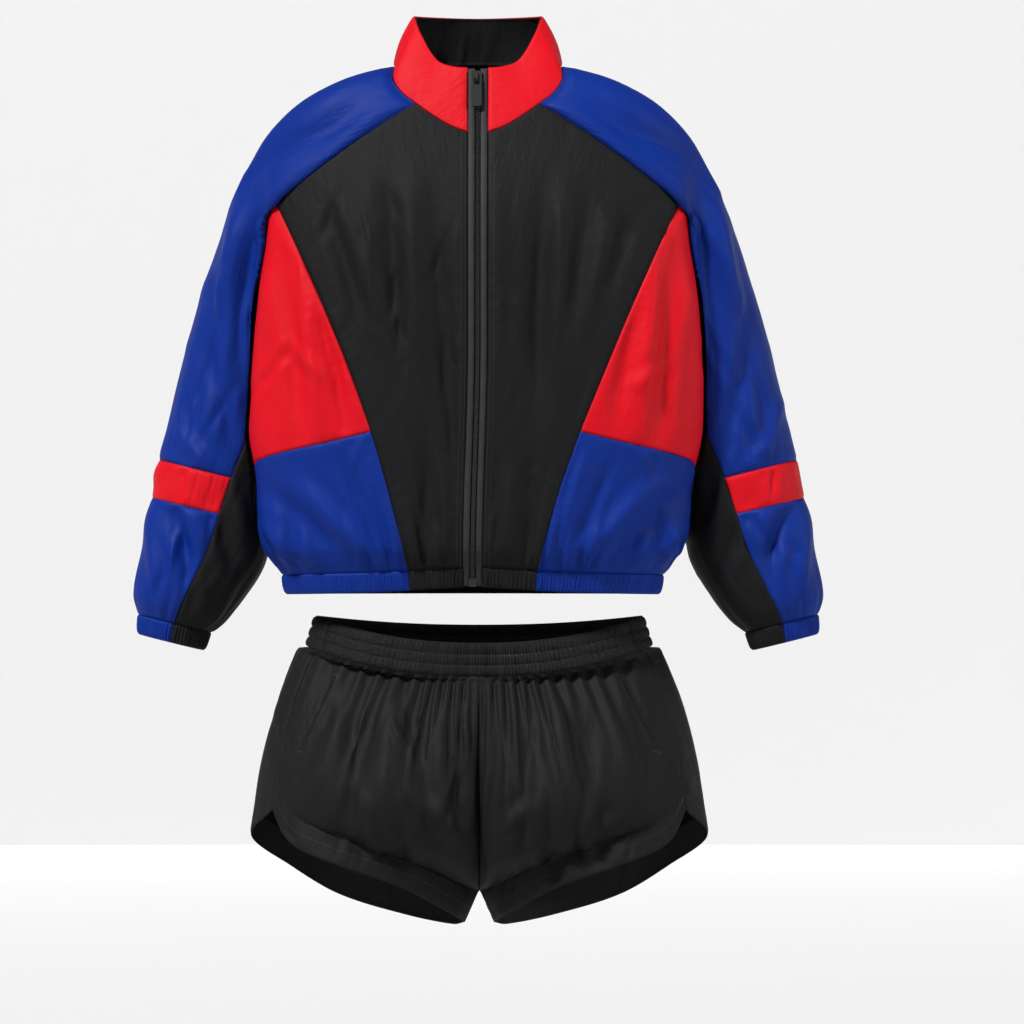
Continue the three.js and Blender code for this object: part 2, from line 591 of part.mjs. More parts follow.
// The sleeve's seam to the body and collar, once round from the side of the neck through the front
function sleeveLoop(side, s) {
  const mirror = side < 0;
  const quarter = (side * Math.PI) / 2;
  const neckFront = steps(SIDE_NECK_COLS).map((t) => neckPair(quarter + (s.corner[0] - quarter) * t));
  const neckBack = steps(SIDE_NECK_COLS).map((t) => neckPair(s.backCorner[0] + (quarter - s.backCorner[0]) * t));
  const loop = [...neckFront, ...s.raglan.slice(1), ...s.underarm.slice(1), ...s.backRaglan.slice(1),
    ...neckBack.slice(1)];
  return { loop, mirror };
}

function sleeveGrid(side, s) {
  const { loop } = sleeveLoop(side, s);
  const first = SLEEVE_ROWS[0];
  const tilt = radians(sleeveAt.tilt(first));
  const down = [-side * -Math.sin(tilt), 0, -Math.cos(tilt)];
  const start = loop.map(([angle, z]) => bodyPoint(angle, z));
  const curves = start.map((from, i) => {
    const end = clearOfBody(sleeveSection(side, first, sleeveAngle(first, i)), SLEEVE_CLEAR);
    const [angle, z] = loop[i];
    const normal = unit(cross(
      sub(bodyPoint(angle + 0.01, z), bodyPoint(angle - 0.01, z)),
      sub(bodyPoint(angle, z + 1), bodyPoint(angle, z - 1)),
    ));
    const way = sub(end, from);
    const flat = unit(add(way, normal, -dot(way, normal)));
    const near = Math.min(i, SLEEVE_COLS - i);
    const open = ease((near - SIDE_NECK_COLS - RAGLAN_COLS * 0.5) / (RAGLAN_COLS * 0.5 + TIP_COLS));
    const leave = unit(add(flat, normal, 0.22 + 1.05 * open));
    const span = length(way);
    return [from, add(from, leave, span * 0.5), add(end, down, -span * 0.35), end];
  });
  const rows = steps(SHOULDER_ROWS).slice(0, -1).map((t) => curves.map(([a, b, c, d], i) => {
    const point = [0, 1, 2].map((k) => a[k] * (1 - t) ** 3 + 3 * b[k] * t * (1 - t) ** 2
      + 3 * c[k] * t ** 2 * (1 - t) + d[k] * t ** 3);
    const near = Math.min(i, SLEEVE_COLS - i);
    return t === 0 || near < SIDE_NECK_COLS + 2 ? point : clearOfBody(point, SLEEVE_CLEAR * ease(t * 2.5));
  }));
  SLEEVE_ROWS.forEach((z) => rows.push(steps(SLEEVE_COLS).map((unused, i) => {
    const angle = sleeveAngle(z, i % SLEEVE_COLS);
    const gathered = ease((-540 - z) / 30) * (z > -600 ? 1 : 0) * (i % 2 ? 1.6 : -1.6);
    return clearOfBody(sleeveSection(side, z, angle, gathered), SLEEVE_CLEAR);
  })));
  rows.forEach((row) => { row[SLEEVE_COLS] = [...row[0]]; });
  return rows;
}

// A stretch of a grid between two rows and two columns, which may run past the last column
function stretch(grid, rowFrom, rowTo, colFrom, colTo) {
  const cols = grid[0].length - 1;
  return grid.slice(rowFrom, rowTo + 1).map((row) => Array.from(
    { length: colTo - colFrom + 1 },
    (unused, k) => [...row[(((colFrom + k) % cols) + cols) % cols]],
  ));
}

function sleeve(side, s) {
  const grid = sleeveGrid(side, s);
  const normals = gridNormals(grid, true, side);
  const name = NAMES[side];
  const rowOf = (z) => SHOULDER_ROWS + SLEEVE_ROWS.indexOf(z);
  const last = grid.length - 1;
  const all = ["bottom", "top", "left", "right"];
  const piece = (part, finish, rowFrom, rowTo, colFrom, colTo) => {
    addSheet(`sleeve_${part}_${name}`, finish, stretch(grid, rowFrom, rowTo, colFrom, colTo),
      stretch(normals, rowFrom, rowTo, colFrom, colTo), all);
  };
  piece("upper", "blue", 0, rowOf(BAND_TOP_Z), -MAIN_COLS, MAIN_COLS);
  piece("band", "red", rowOf(BAND_TOP_Z), rowOf(BAND_BOTTOM_Z), -MAIN_COLS, MAIN_COLS);
  piece("lower", "blue", rowOf(BAND_BOTTOM_Z), last, -MAIN_COLS, MAIN_COLS);
  piece("gore", "black", 0, last, MAIN_COLS, MAIN_COLS + 2 * GORE_COLS);
  cuff(side, "outer", "blue", -Math.PI / 2);
  cuff(side, "inner", "black", Math.PI / 2);
}

// Half an elastic cuff, with its ribs
const CUFF_COLS = 16;
const CUFF_TOP_Z = -604;
const CUFF_BOTTOM_Z = -625;

function cuff(side, part, finish, from) {
  const plan = BAND_ROWS.map((v) => steps(CUFF_COLS).map((t) => {
    return [from + Math.PI * t, CUFF_BOTTOM_Z + (CUFF_TOP_Z - CUFF_BOTTOM_Z) * v, v];
  }));
  const at = (angle, z, out) => sleeveSection(side, z, angle, out);
  const grid = plan.map((row) => row.map(([angle, z, v], i) => {
    const rib = i > 0 && i < CUFF_COLS && i % 2 ? RIB_HEIGHT * (v > 0.1 && v < 0.9 ? 1 : 0.4) : 0;
    return at(angle, z, rib);
  }));
  const normals = plan.map((row) => row.map(([angle, z]) => unit(sub(at(angle, z, 1), at(angle, z, 0)))));
  addSheet(`cuff_${part}_${NAMES[side]}`, finish, grid, normals, ["bottom", "top", "left", "right"], BAND_CLOTH);
}

// Zip: tapes and coil lie between the front edges, a little below the cloth's face
const TAPE = 1;               // wall of the tape, and how far its face lies below the cloth's
const COIL = 1.8;
const ZIP_ROWS = 14;
const ZIP_FOOT_Z = -572;
const ZIP_FOOT_ROWS = [ZIP_FOOT_Z, -564, -556, -548, -541];
const ZIP_LOW_Z = -530;
const TAPE_GAP = 0.5;

function zipFace(x, z, sunk) {
  if (z <= NECK_FRONT_Z) {
    const point = bodyPlain(bodyAngle(x, z), z);
    return [point[0], point[1] + sunk, z];
  }
  const low = bodyPlain(bodyAngle(x, NECK_FRONT_Z), NECK_FRONT_Z)[1];
  const share = (z - NECK_FRONT_Z) / (COLLAR_TOP_HEIGHT[0].z - NECK_FRONT_Z);
  return [x, low + (-COLLAR_TOP.front - low) * share + sunk, z];
}

function zipStrip(name, finish, fromX, toX, sunk, wall) {
  const heights = [...ZIP_FOOT_ROWS, ...steps(ZIP_ROWS).map((t) => ZIP_LOW_Z + (ZIP_TOP_Z - ZIP_LOW_Z) * t)];
  const grid = heights.map((z) => [fromX, toX].map((x) => zipFace(x, z, sunk)));
  const normals = grid.map((row) => row.map(() => [0, -1, 0]));
  addSheet(name, finish, grid, normals, [], wall);
}

// Slider with its bridge, and the pull tab that hangs from it
const HINGE = { x: -1, z: -18 };
const SLIDER = { wide: 11, low: -9, high: 9, deep: 2.4 };
const BRIDGE = { wide: 3, reach: 4.6, hole: 1.6, ahead: 2.8 };
const TAB = { wide: 11, long: 34, thick: 1.8, window: 8.5, bar: 0.9, arm: 2.6, round: 2 };
const SLIDER_CLEAR = 0.4;
const BOTTOM_BOX = { wide: 8, deep: 2.2, high: 9 };

function solidOf(geometry) {
  geometry.deleteAttribute("normal");
  geometry.deleteAttribute("uv");
  const merged = mergeVertices(geometry, 1e-4);
  const vertProperties = Float32Array.from(merged.attributes.position.array);
  const triVerts = Uint32Array.from(merged.index.array);
  return new wasm.Manifold(new wasm.Mesh({ numProp: 3, vertProperties, triVerts }));
}

function geometryOf(solid) {
  const mesh = solid.getMesh();
  const geometry = new THREE.BufferGeometry();
  geometry.setAttribute("position", new THREE.Float32BufferAttribute(mesh.vertProperties, 3));
  geometry.setIndex(Array.from(mesh.triVerts));
  return geometry;
}

// Stands a piece made against a flat face on the sloping zip, at the height of the hinge
function onZip(geometry) {
  const low = zipFace(HINGE.x, HINGE.z - TAB.long, 0);
  const high = zipFace(HINGE.x, HINGE.z, 0);
  const slope = Math.atan2(high[1] - low[1], high[2] - low[2]);
  geometry.rotateX(-slope);
  geometry.translate(high[0], high[1], high[2]);
  return geometry;
}

const HINGE_AHEAD = -SLIDER_CLEAR - SLIDER.deep - BRIDGE.hole;

function slider() {
  const plate = new THREE.BoxGeometry(SLIDER.wide, SLIDER.deep, SLIDER.high - SLIDER.low);
  plate.translate(0, -SLIDER_CLEAR - SLIDER.deep / 2, (SLIDER.high + SLIDER.low) / 2);
  // The bridge is drawn in a plane of depth and height, then stood across the slider
  const outline = new THREE.Shape();
  outline.moveTo(-BRIDGE.hole - 0.5, -BRIDGE.reach - 2);
  outline.lineTo(BRIDGE.ahead, -BRIDGE.reach);
  outline.quadraticCurveTo(BRIDGE.ahead + 1.2, 0, BRIDGE.ahead, BRIDGE.reach);
  outline.lineTo(-BRIDGE.hole - 0.5, BRIDGE.reach + 2);
  outline.closePath();
  const hole = new THREE.Path();
  hole.moveTo(-BRIDGE.hole + 0.1, -BRIDGE.hole);
  hole.lineTo(-BRIDGE.hole + 0.1, BRIDGE.hole);
  hole.lineTo(BRIDGE.ahead - 1.2, BRIDGE.hole);
  hole.lineTo(BRIDGE.ahead - 1.2, -BRIDGE.hole);
  hole.closePath();
  outline.holes.push(hole);
  const bridge = new THREE.ExtrudeGeometry(outline, { depth: BRIDGE.wide, bevelEnabled: false, curveSegments: 4 });
  bridge.translate(0, 0, -BRIDGE.wide / 2);
  const frame = new THREE.Matrix4().makeBasis(
    new THREE.Vector3(0, -1, 0), new THREE.Vector3(0, 0, 1), new THREE.Vector3(-1, 0, 0),
  );
  bridge.applyMatrix4(frame);
  bridge.translate(0, HINGE_AHEAD, 0);
  addMesh("zip_slider", onZip(geometryOf(solidOf(plate).add(solidOf(bridge)))), "metal");
}

function pullTab() {
  const half = TAB.wide / 2;
  const outline = new THREE.Shape();
  outline.moveTo(-half, TAB.bar);
  outline.lineTo(-half, -TAB.long + TAB.round);
  outline.lineTo(-half + TAB.round, -TAB.long);
  outline.lineTo(half - TAB.round, -TAB.long);
  outline.lineTo(half, -TAB.long + TAB.round);
  outline.lineTo(half, TAB.bar);
  outline.closePath();
  const window = new THREE.Path();
  const inner = half - TAB.arm;
  window.moveTo(-inner, -TAB.bar);
  window.lineTo(inner, -TAB.bar);
  window.lineTo(inner, -TAB.window);
  window.lineTo(-inner, -TAB.window);
  window.closePath();
  outline.holes.push(window);
  const plate = new THREE.ExtrudeGeometry(outline, { depth: TAB.thick, bevelEnabled: false });
  plate.translate(0, 0, -TAB.thick / 2);
  plate.rotateX(Math.PI / 2);
  plate.translate(0, HINGE_AHEAD, 0);
  addMesh("zip_pull_tab", onZip(plate), "metal");
}

function zip() {
  zipStrip("zip_tape_right", "tape", COIL_HALF + TAPE_GAP, ZIP_HALF - TAPE_GAP, TAPE, TAPE);
  zipStrip("zip_tape_left", "tape", -ZIP_HALF + TAPE_GAP, -COIL_HALF - TAPE_GAP, TAPE, TAPE);
  zipStrip("zip_coil", "metal", -COIL_HALF, COIL_HALF, 0.2, COIL);
  slider();
  pullTab();
  const foot = zipFace(0, ZIP_FOOT_Z, 0);
  const ahead = Math.min(...steps(4).map((t) => zipFace(0, ZIP_FOOT_Z + BOTTOM_BOX.high * t, 0)[1]));
  const box = new THREE.BoxGeometry(BOTTOM_BOX.wide, BOTTOM_BOX.deep, BOTTOM_BOX.high);
  box.translate(foot[0], ahead - BOTTOM_BOX.deep / 2 - SLIDER_CLEAR, ZIP_FOOT_Z + BOTTOM_BOX.high / 2);
  addMesh("zip_bottom_box", box, "metal");
}

// Shorts: plan of the waistband, and the edges of the front and back panels
const SHORTS_X = 1.5;
const WAIST = { half: 180, deep: 74, y: -6 };
const WAIST_SEAM = { half: 187, deep: 80 };
const WAIST_TOP = { front: -634, side: -605, back: -616 };
const WAIST_FOOT = { front: -670, side: -638, back: -652 };
const WAIST_RIB_COLS = 18;    // columns of ribs on each quarter of the band
const RISE_ROWS = 8;
const INSEAM_ROWS = 2;
const SHORTS_COLS = 12;
const SIDE_DEG = 76;          // side seam of the shorts, measured round from the front
const CROTCH = [0, 6, -908];
const INSEAM_FOOT = [15, 4, -942];

// Rise of the front and back from the waist seam to the crotch
const FRONT_RISE = [
  { z: -670, y: -86 }, { z: -720, y: -98 }, { z: -780, y: -104 }, { z: -840, y: -96 },
  { z: -880, y: -62 }, { z: -900, y: -26 }, { z: -908, y: 6 },
];
const BACK_RISE = [
  { z: -652, y: 74 }, { z: -720, y: 98 }, { z: -780, y: 108 }, { z: -840, y: 102 },
  { z: -880, y: 74 }, { z: -900, y: 38 }, { z: -908, y: 6 },
];
// Side seam from the waist to the hem
const SIDE_RISE = [
  { z: -640, x: 181, y: -25 }, { z: -690, x: 202, y: -40 }, { z: -750, x: 217, y: -52 }, { z: -816, x: 227, y: -60 },
];
// Hem edges from the inseam to the side seam
const FRONT_HEM = [
  { t: 0, x: 15, y: 4, z: -942 }, { t: 0.1, x: 30, y: -34, z: -932 }, { t: 0.35, x: 84, y: -92, z: -901 },
  { t: 0.62, x: 150, y: -112, z: -877 }, { t: 0.86, x: 197, y: -96, z: -858 },
  { t: 0.95, x: 215, y: -78, z: -842 }, { t: 1, x: 227, y: -60, z: -816 },
];
const BACK_HEM = [
  { t: 0, x: 15, y: 4, z: -942 }, { t: 0.12, x: 30, y: 44, z: -946 }, { t: 0.34, x: 84, y: 92, z: -937 },
  { t: 0.6, x: 158, y: 96, z: -914 }, { t: 0.78, x: 212, y: 56, z: -880 },
  { t: 0.9, x: 252, y: -2, z: -846 }, { t: 1, x: 227, y: -60, z: -816 },
];
// Swell of a panel between its edges: across and down, and outwards
const SWELL = { front: 9, back: 12 };
const PLEAT_DEPTH = 3;

const readTable = (table, by, names) => {
  const readers = names.map((name) => column(table, by, name));
  return (at) => readers.map((read) => read(at));
};

function waistPoint(angle, plan, heights, out = 0) {
  const end = Math.cos(angle) > 0 ? heights.front : heights.back;
  const radius = sectionRadius(angle, plan.half, plan.deep, plan.deep) + out;
  const share = clamp(Math.abs(radius * Math.sin(angle)) / plan.half) ** 2.2;
  return [SHORTS_X + radius * Math.sin(angle), WAIST.y - radius * Math.cos(angle),
    end + (heights.side - end) * share];
}

function shortsPanel(side, where, finish) {
  const isFront = where === "front";
  const start = isFront ? 0 : Math.PI;
  const seam = side * radians(SIDE_DEG);
  const end = isFront || side > 0 ? seam : 2 * Math.PI + seam;
  const waist = steps(SHORTS_COLS).map((t) => waistPoint(start + (end - start) * t, WAIST_SEAM, WAIST_FOOT));
  const rise = readTable(isFront ? FRONT_RISE : BACK_RISE, "z", ["y"]);
  const riseTop = waist[0][2];
  const middle = steps(RISE_ROWS).map((t) => {
    const z = riseTop + (CROTCH[2] - riseTop) * t ** 0.9;
    return [SHORTS_X, t === 0 ? waist[0][1] : rise(z)[0], z];
  });
  const crotch = [SHORTS_X, CROTCH[1], CROTCH[2]];
  middle[RISE_ROWS] = crotch;
  const foot = [SHORTS_X + side * INSEAM_FOOT[0], INSEAM_FOOT[1], INSEAM_FOOT[2]];
  const inseam = steps(INSEAM_ROWS).slice(1).map((t) => mix(crotch, foot, t));
  const left = [...middle, ...inseam].reverse();
  const hem = readTable(isFront ? FRONT_HEM : BACK_HEM, "t", ["x", "y", "z"]);
  const bottom = steps(SHORTS_COLS).map((t) => {
    const [x, y, z] = hem(t);
    return [SHORTS_X + side * x, y, z];
  });
  const outer = readTable(SIDE_RISE, "z", ["x", "y"]);
  const rows = RISE_ROWS + INSEAM_ROWS;
  const right = steps(rows).map((t) => {
    const z = bottom[SHORTS_COLS][2] + (waist[SHORTS_COLS][2] - bottom[SHORTS_COLS][2]) * t;
    const [x, y] = outer(z);
    return t === 1 ? waist[SHORTS_COLS] : [SHORTS_X + side * x, y, z];
  });
  right[0] = bottom[SHORTS_COLS];
  const corners = [bottom[0], bottom[SHORTS_COLS], waist[0], waist[SHORTS_COLS]];
  const flat = left.map((unused, j) => bottom.map((alsoUnused, i) => {
    const u = i / SHORTS_COLS;
    const v = j / rows;
    return [0, 1, 2].map((k) => bottom[i][k] * (1 - v) + waist[i][k] * v
      + left[j][k] * (1 - u) + right[j][k] * u
      - (corners[0][k] * (1 - u) * (1 - v) + corners[1][k] * u * (1 - v)
        + corners[2][k] * (1 - u) * v + corners[3][k] * u * v));
  }));
  const sign = side * (isFront ? 1 : -1);
  const first = gridNormals(flat, false, sign);
  const swell = isFront ? SWELL.front : SWELL.back;
  const grid = flat.map((row, j) => row.map((point, i) => {
    const u = i / SHORTS_COLS;
    const v = j / rows;
    const inside = i > 0 && i < SHORTS_COLS && j > 0 && j < rows;
    const pleat = inside ? PLEAT_DEPTH * ease((v - 0.35) / 0.5) * (i % 2 ? 1 : -1) : 0;
    const edge = j === rows ? 0 : 1;
    return add(point, first[j][i], swell * edge * 4 * u * (1 - u) * v * (1 - v) * 4 + pleat);
  }));
  addSheet(`shorts_${where}_${NAMES[side]}`, finish, grid, gridNormals(grid, false, sign),
    ["bottom", "top", "left", "right"]);
}

function waistband(where, from, to) {
  const cols = 2 * WAIST_RIB_COLS;
  const between = (v) => ({
    half: WAIST_SEAM.half + (WAIST.half - WAIST_SEAM.half) * v,
    deep: WAIST_SEAM.deep + (WAIST.deep - WAIST_SEAM.deep) * v,
  });
  const heights = (v) => Object.fromEntries(Object.keys(WAIST_TOP)
    .map((key) => [key, WAIST_FOOT[key] + (WAIST_TOP[key] - WAIST_FOOT[key]) * v]));
  const grid = BAND_ROWS.map((v) => steps(cols).map((t, i) => {
    const angle = from + (to - from) * t;
    const rib = i > 0 && i < cols && i % 2 ? RIB_HEIGHT * (v > 0.1 && v < 0.9 ? 1 : 0.4) : 0;
    return waistPoint(angle, between(v), heights(v), rib);
  }));
  const normals = grid.map((row) => row.map((unused, i) => {
    const angle = from + ((to - from) * i) / cols;
    return unit([Math.sin(angle), -Math.cos(angle), 0]);
  }));
  addSheet(`waistband_${where}`, "black", grid, normals, ["bottom", "top", "left", "right"], BAND_CLOTH);
}

const right = jacketSide(1);
const left = jacketSide(-1);
jacketBack(right);
hemBand(right, left);
collar(right);
zip();
sleeve(1, right);
sleeve(-1, left);
const shortsSeam = radians(SIDE_DEG);
waistband("front", -shortsSeam, shortsSeam);
waistband("back", shortsSeam, 2 * Math.PI - shortsSeam);
for (const side of [1, -1]) {
  shortsPanel(side, "front", "black");
  shortsPanel(side, "back", "black");
}

shareSeamNormals();
sheets.forEach((sheet) => {
  const grid = sheet.sides.length ? setBack(sheet.grid, sheet.sides) : sheet.grid;
  addMesh(sheet.name, wallGeometry(grid, sheet.normals, sheet.thickness, sheet.around), sheet.finish);
});

export default tracksuit;
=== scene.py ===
"""Looks of a nylon tracksuit, a zip track jacket and shorts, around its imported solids."""

import logging
import math
from dataclasses import dataclass, field
from enum import Enum

import bmesh
import bpy
import numpy as np
from mathutils import Matrix, Vector

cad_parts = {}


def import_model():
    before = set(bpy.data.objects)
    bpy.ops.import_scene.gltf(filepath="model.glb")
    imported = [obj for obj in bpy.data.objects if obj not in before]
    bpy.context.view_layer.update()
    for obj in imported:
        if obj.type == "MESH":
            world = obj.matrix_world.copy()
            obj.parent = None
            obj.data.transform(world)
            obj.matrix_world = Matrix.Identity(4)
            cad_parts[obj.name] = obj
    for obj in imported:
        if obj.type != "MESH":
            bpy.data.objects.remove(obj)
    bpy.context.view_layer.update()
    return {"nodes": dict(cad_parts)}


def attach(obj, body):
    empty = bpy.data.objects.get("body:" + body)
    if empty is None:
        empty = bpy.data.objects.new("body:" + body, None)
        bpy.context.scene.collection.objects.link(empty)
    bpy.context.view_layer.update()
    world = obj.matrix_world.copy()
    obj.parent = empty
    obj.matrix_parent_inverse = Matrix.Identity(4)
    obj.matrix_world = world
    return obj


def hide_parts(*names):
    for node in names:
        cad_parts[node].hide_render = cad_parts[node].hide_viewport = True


LOG = logging.getLogger("tracksuit")
MM = 0.001
SHELL, BAND_SHELL, TAPE_SHELL = 0.0009, 0.0016, 0.0008
GARMENT = "garment"
SIDES = (("right", 1), ("left", -1))

CREASE_DEPTH, CREASE_HOLD = 1.75, 10.0
SEAM_RECESS, SEAM_REACH = 0.9, 3.5
BACK_CREASE_SPREAD, BACK_CREASE_WIDTH, BACK_CREASE_DEPTH = (0.92, 1.06), 1.1, 0.8

NECK_FRONT_Z, NECK_BACK_Z = -77.0, 7.0
HEM_SEAM_Z, HEM_BAND, HEM_DROP = -552.0, 21.0, 8.0
ZIP_HALF = 11.0
SIDE = math.radians(104)
BODY_LEAN, LEAN_START_Z = 5.5, -300.0
FRONT_POWER, BACK_POWER = 2.5, 2.05
NECK_CORNER = (67.0, -43.0)
RAGLAN_TIP = (221.0, -154.0)
RED_CORNER = (114.0, -403.0)
BLUE_FOOT = (71.0, -553.0)
RED_SIDE_Z = -456.0
ARMPIT_Z = -196.0
BACK_NECK = math.radians(138)
GORE_FRONT, GORE_BACK, GORE_LIFT = math.radians(94), math.radians(114), 8.0
NECK_COLS, SIDE_NECK_COLS, RAGLAN_COLS = 16, 18, 36
TIP_COLS, GORE_COLS, BACK_NECK_COLS = 42, 28, 36
RED_ROWS, BLUE_ROWS = 80, 56
SIDE_COLS = TIP_COLS + GORE_COLS

BODY_SECTIONS = (
    # z, half, front, wide, back
    (14, 78, -58, 0, 56), (0, 93, -66, 0, 66), (-20, 150, -74, 0, 82), (-43, 186, -83, -2, 95),
    (-77, 226, -97, -5, 107), (-115, 236, -113, -12, 115), (-154, 234, -126, -22, 120),
    (-200, 233, -135, -30, 121), (-260, 241, -139, -34, 119), (-310, 245, -140, -36, 116),
    (-370, 247, -139, -36, 112), (-410, 247, -137, -34, 108), (-455, 239, -133, -31, 104),
    (-500, 235, -129, -28, 101), (-530, 229, -124, -26, 98), (-545, 218, -116, -24, 93),
    (-556, 210, -110, -22, 89), (-590, 203, -105, -20, 85),
)
COLLAR_HALF, COLLAR_FRONT, COLLAR_BACK, COLLAR_BULGE = 71.0, 70.0, 55.0, 4.0
COLLAR_COLS, COLLAR_ROWS, LINING_ROWS = 200, 28, 30
LINING_DROP, LINING_GAP = 0.08, 2.6
COLLAR_TOP = ((0, -5), (20, -3.5), (34, 2), (42, 12), (54, 31), (68, 47), (82, 54), (110, 56), (180, 55))
SLEEVE_SECTIONS = (
    # z, x, tilt, half, deep, y, gore
    (-176, 281, 22, 50, 84, 26, 150), (-229, 299, 16, 54, 82, 32, 135), (-295, 317, 15, 58, 78, 35, 124),
    (-361, 334, 14, 63, 74, 36, 116), (-433, 352, 14, 67, 70, 34, 104), (-475, 360, 13, 69, 66, 31, 98),
    (-515, 369, 13, 69, 61, 29, 95), (-559, 378, 13, 61, 55, 27, 92), (-583, 380, 14, 53, 48, 26, 91),
    (-604, 375, 14, 41.5, 37, 26, 90), (-625, 375, 14, 37.5, 34, 26, 90),
)
SLEEVE_TOP_Z, SLEEVE_END_Z, CUFF_END_Z = -176.0, -604.0, -625.0
BAND_TOP_Z, BAND_BOTTOM_Z = -433.0, -475.0
SECTION_POWER, SLEEVE_CLEAR = 2.15, 5.0
SHOULDER_ROWS, UPPER_ROWS, BAND_ROWS, LOWER_ROWS = 26, 54, 10, 33
CUFF_RIBS = 32
# How the shoulder leaves the body, and how hard its curve is held at both ends
LEAVE_LOW, LEAVE_MORE, START_PULL, END_PULL = 0.22, 1.05, 0.5, 0.35


class Edge(Enum):
    """The four edges of a cut panel."""

    BOTTOM = "bottom"
    TOP = "top"
    LEFT = "left"
    RIGHT = "right"


class Cloth(Enum):
    """The record's slots of the three nylon colours."""

    BLACK = "black_nylon"
    RED = "red_nylon"
    BLUE = "blue_nylon"


@dataclass(frozen=True)
class Pucker:
    """Small waves that run in from a gathered or stitched edge."""

    edge: Edge
    wavelength: float
    height: float
    reach: float


@dataclass(frozen=True)
class Crease:
    """One soft trough or ridge, between two points of the front view, in millimetres."""

    x1: float
    z1: float
    x2: float
    z2: float
    width: float
    depth: float


def steps(count: int) -> np.ndarray:
    """Gives count + 1 values from 0 to 1."""
    return np.linspace(0.0, 1.0, count + 1)


def ease(value: np.ndarray) -> np.ndarray:
    """Eases values between 0 and 1."""
    held = np.clip(value, 0.0, 1.0)
    return held * held * (3 - 2 * held)


def unit(vectors: np.ndarray) -> np.ndarray:
    """Gives vectors of length one."""
    size = np.linalg.norm(vectors, axis=-1, keepdims=True)
    return vectors / np.maximum(size, 1e-9)


def running(points: np.ndarray, axis: int = 0) -> np.ndarray:
    """Length run from the first point on, along an axis of a grid or line."""
    parts = np.linalg.norm(np.diff(points, axis=axis), axis=-1)
    start = np.zeros_like(np.take(parts, [0], axis=axis))
    return np.concatenate([start, np.cumsum(parts, axis=axis)], axis=axis)


def plan_way(angle: np.ndarray) -> np.ndarray:
    """Level direction at an angle round from the front."""
    return np.stack([np.sin(angle), -np.cos(angle), 0 * angle], -1)


def oriented(grid: np.ndarray, edge: Edge) -> np.ndarray:
    """Turns a grid so that an edge is its first row."""
    if edge in (Edge.LEFT, Edge.RIGHT):
        grid = np.swapaxes(grid, 0, 1)
    return grid[::-1] if edge in (Edge.TOP, Edge.RIGHT) else grid


def new_object(name: str, bm: bmesh.types.BMesh, smooth: bool = True) -> bpy.types.Object:
    """Turns a bmesh into an object at the origin."""
    mesh = bpy.data.meshes.new(name)
    bm.to_mesh(mesh)
    bm.free()
    for polygon in mesh.polygons:
        polygon.use_smooth = smooth
    made = bpy.data.objects.new(name, mesh)
    bpy.context.collection.objects.link(made)
    return made


class Column:
    """A smooth reading of one column of a table."""

    def __init__(self, keys: list[float], values: list[float]) -> None:
        """Keeps the rows in rising order.

        Args:
            keys: The column that the reading goes by.
            values: The column that is read.
        """
        order = np.argsort(keys)
        self.keys = np.array(keys, float)[order]
        self.values = np.array(values, float)[order]
        last = len(self.keys) - 1
        low = np.maximum(np.arange(last + 1) - 1, 0)
        high = np.minimum(np.arange(last + 1) + 1, last)
        self.slopes = (self.values[high] - self.values[low]) / (self.keys[high] - self.keys[low])

    def __call__(self, at: np.ndarray) -> np.ndarray:
        """Reads the column.

        Args:
            at: Places along the key column.

        Returns:
            The values there.
        """
        held = np.clip(np.asarray(at, float), self.keys[0], self.keys[-1])
        i = np.clip(np.searchsorted(self.keys, held), 1, len(self.keys) - 1)
        span = self.keys[i] - self.keys[i - 1]
        t = (held - self.keys[i - 1]) / span
        return (
            (2 * t**3 - 3 * t**2 + 1) * self.values[i - 1]
            + (t**3 - 2 * t**2 + t) * span * self.slopes[i - 1]
            + (3 * t**2 - 2 * t**3) * self.values[i]
            + (t**3 - t**2) * span * self.slopes[i]
        )


def columns(table: tuple, count: int) -> list[Column]:
    """Reads every column of a table by its first one."""
    keys = [row[0] for row in table]
    return [Column(keys, [row[k] for row in table]) for k in range(1, count)]


def radius_of(angle: np.ndarray, half: np.ndarray, front: np.ndarray, back: np.ndarray) -> np.ndarray:
    """Plan radius of a rounded section.

    Args:
        angle: Angle round from the front.
        half: Half width.
        front: Depth ahead of the widest line.
        back: Depth behind it.

    Returns:
        The radius at each angle.
    """
    ahead = np.cos(angle) > 0
    depth = np.where(ahead, front, back)
    power = np.where(ahead, FRONT_POWER, BACK_POWER)
    total = (np.abs(np.sin(angle)) / half) ** power + (np.abs(np.cos(angle)) / depth) ** power
    return total ** (-1 / power)


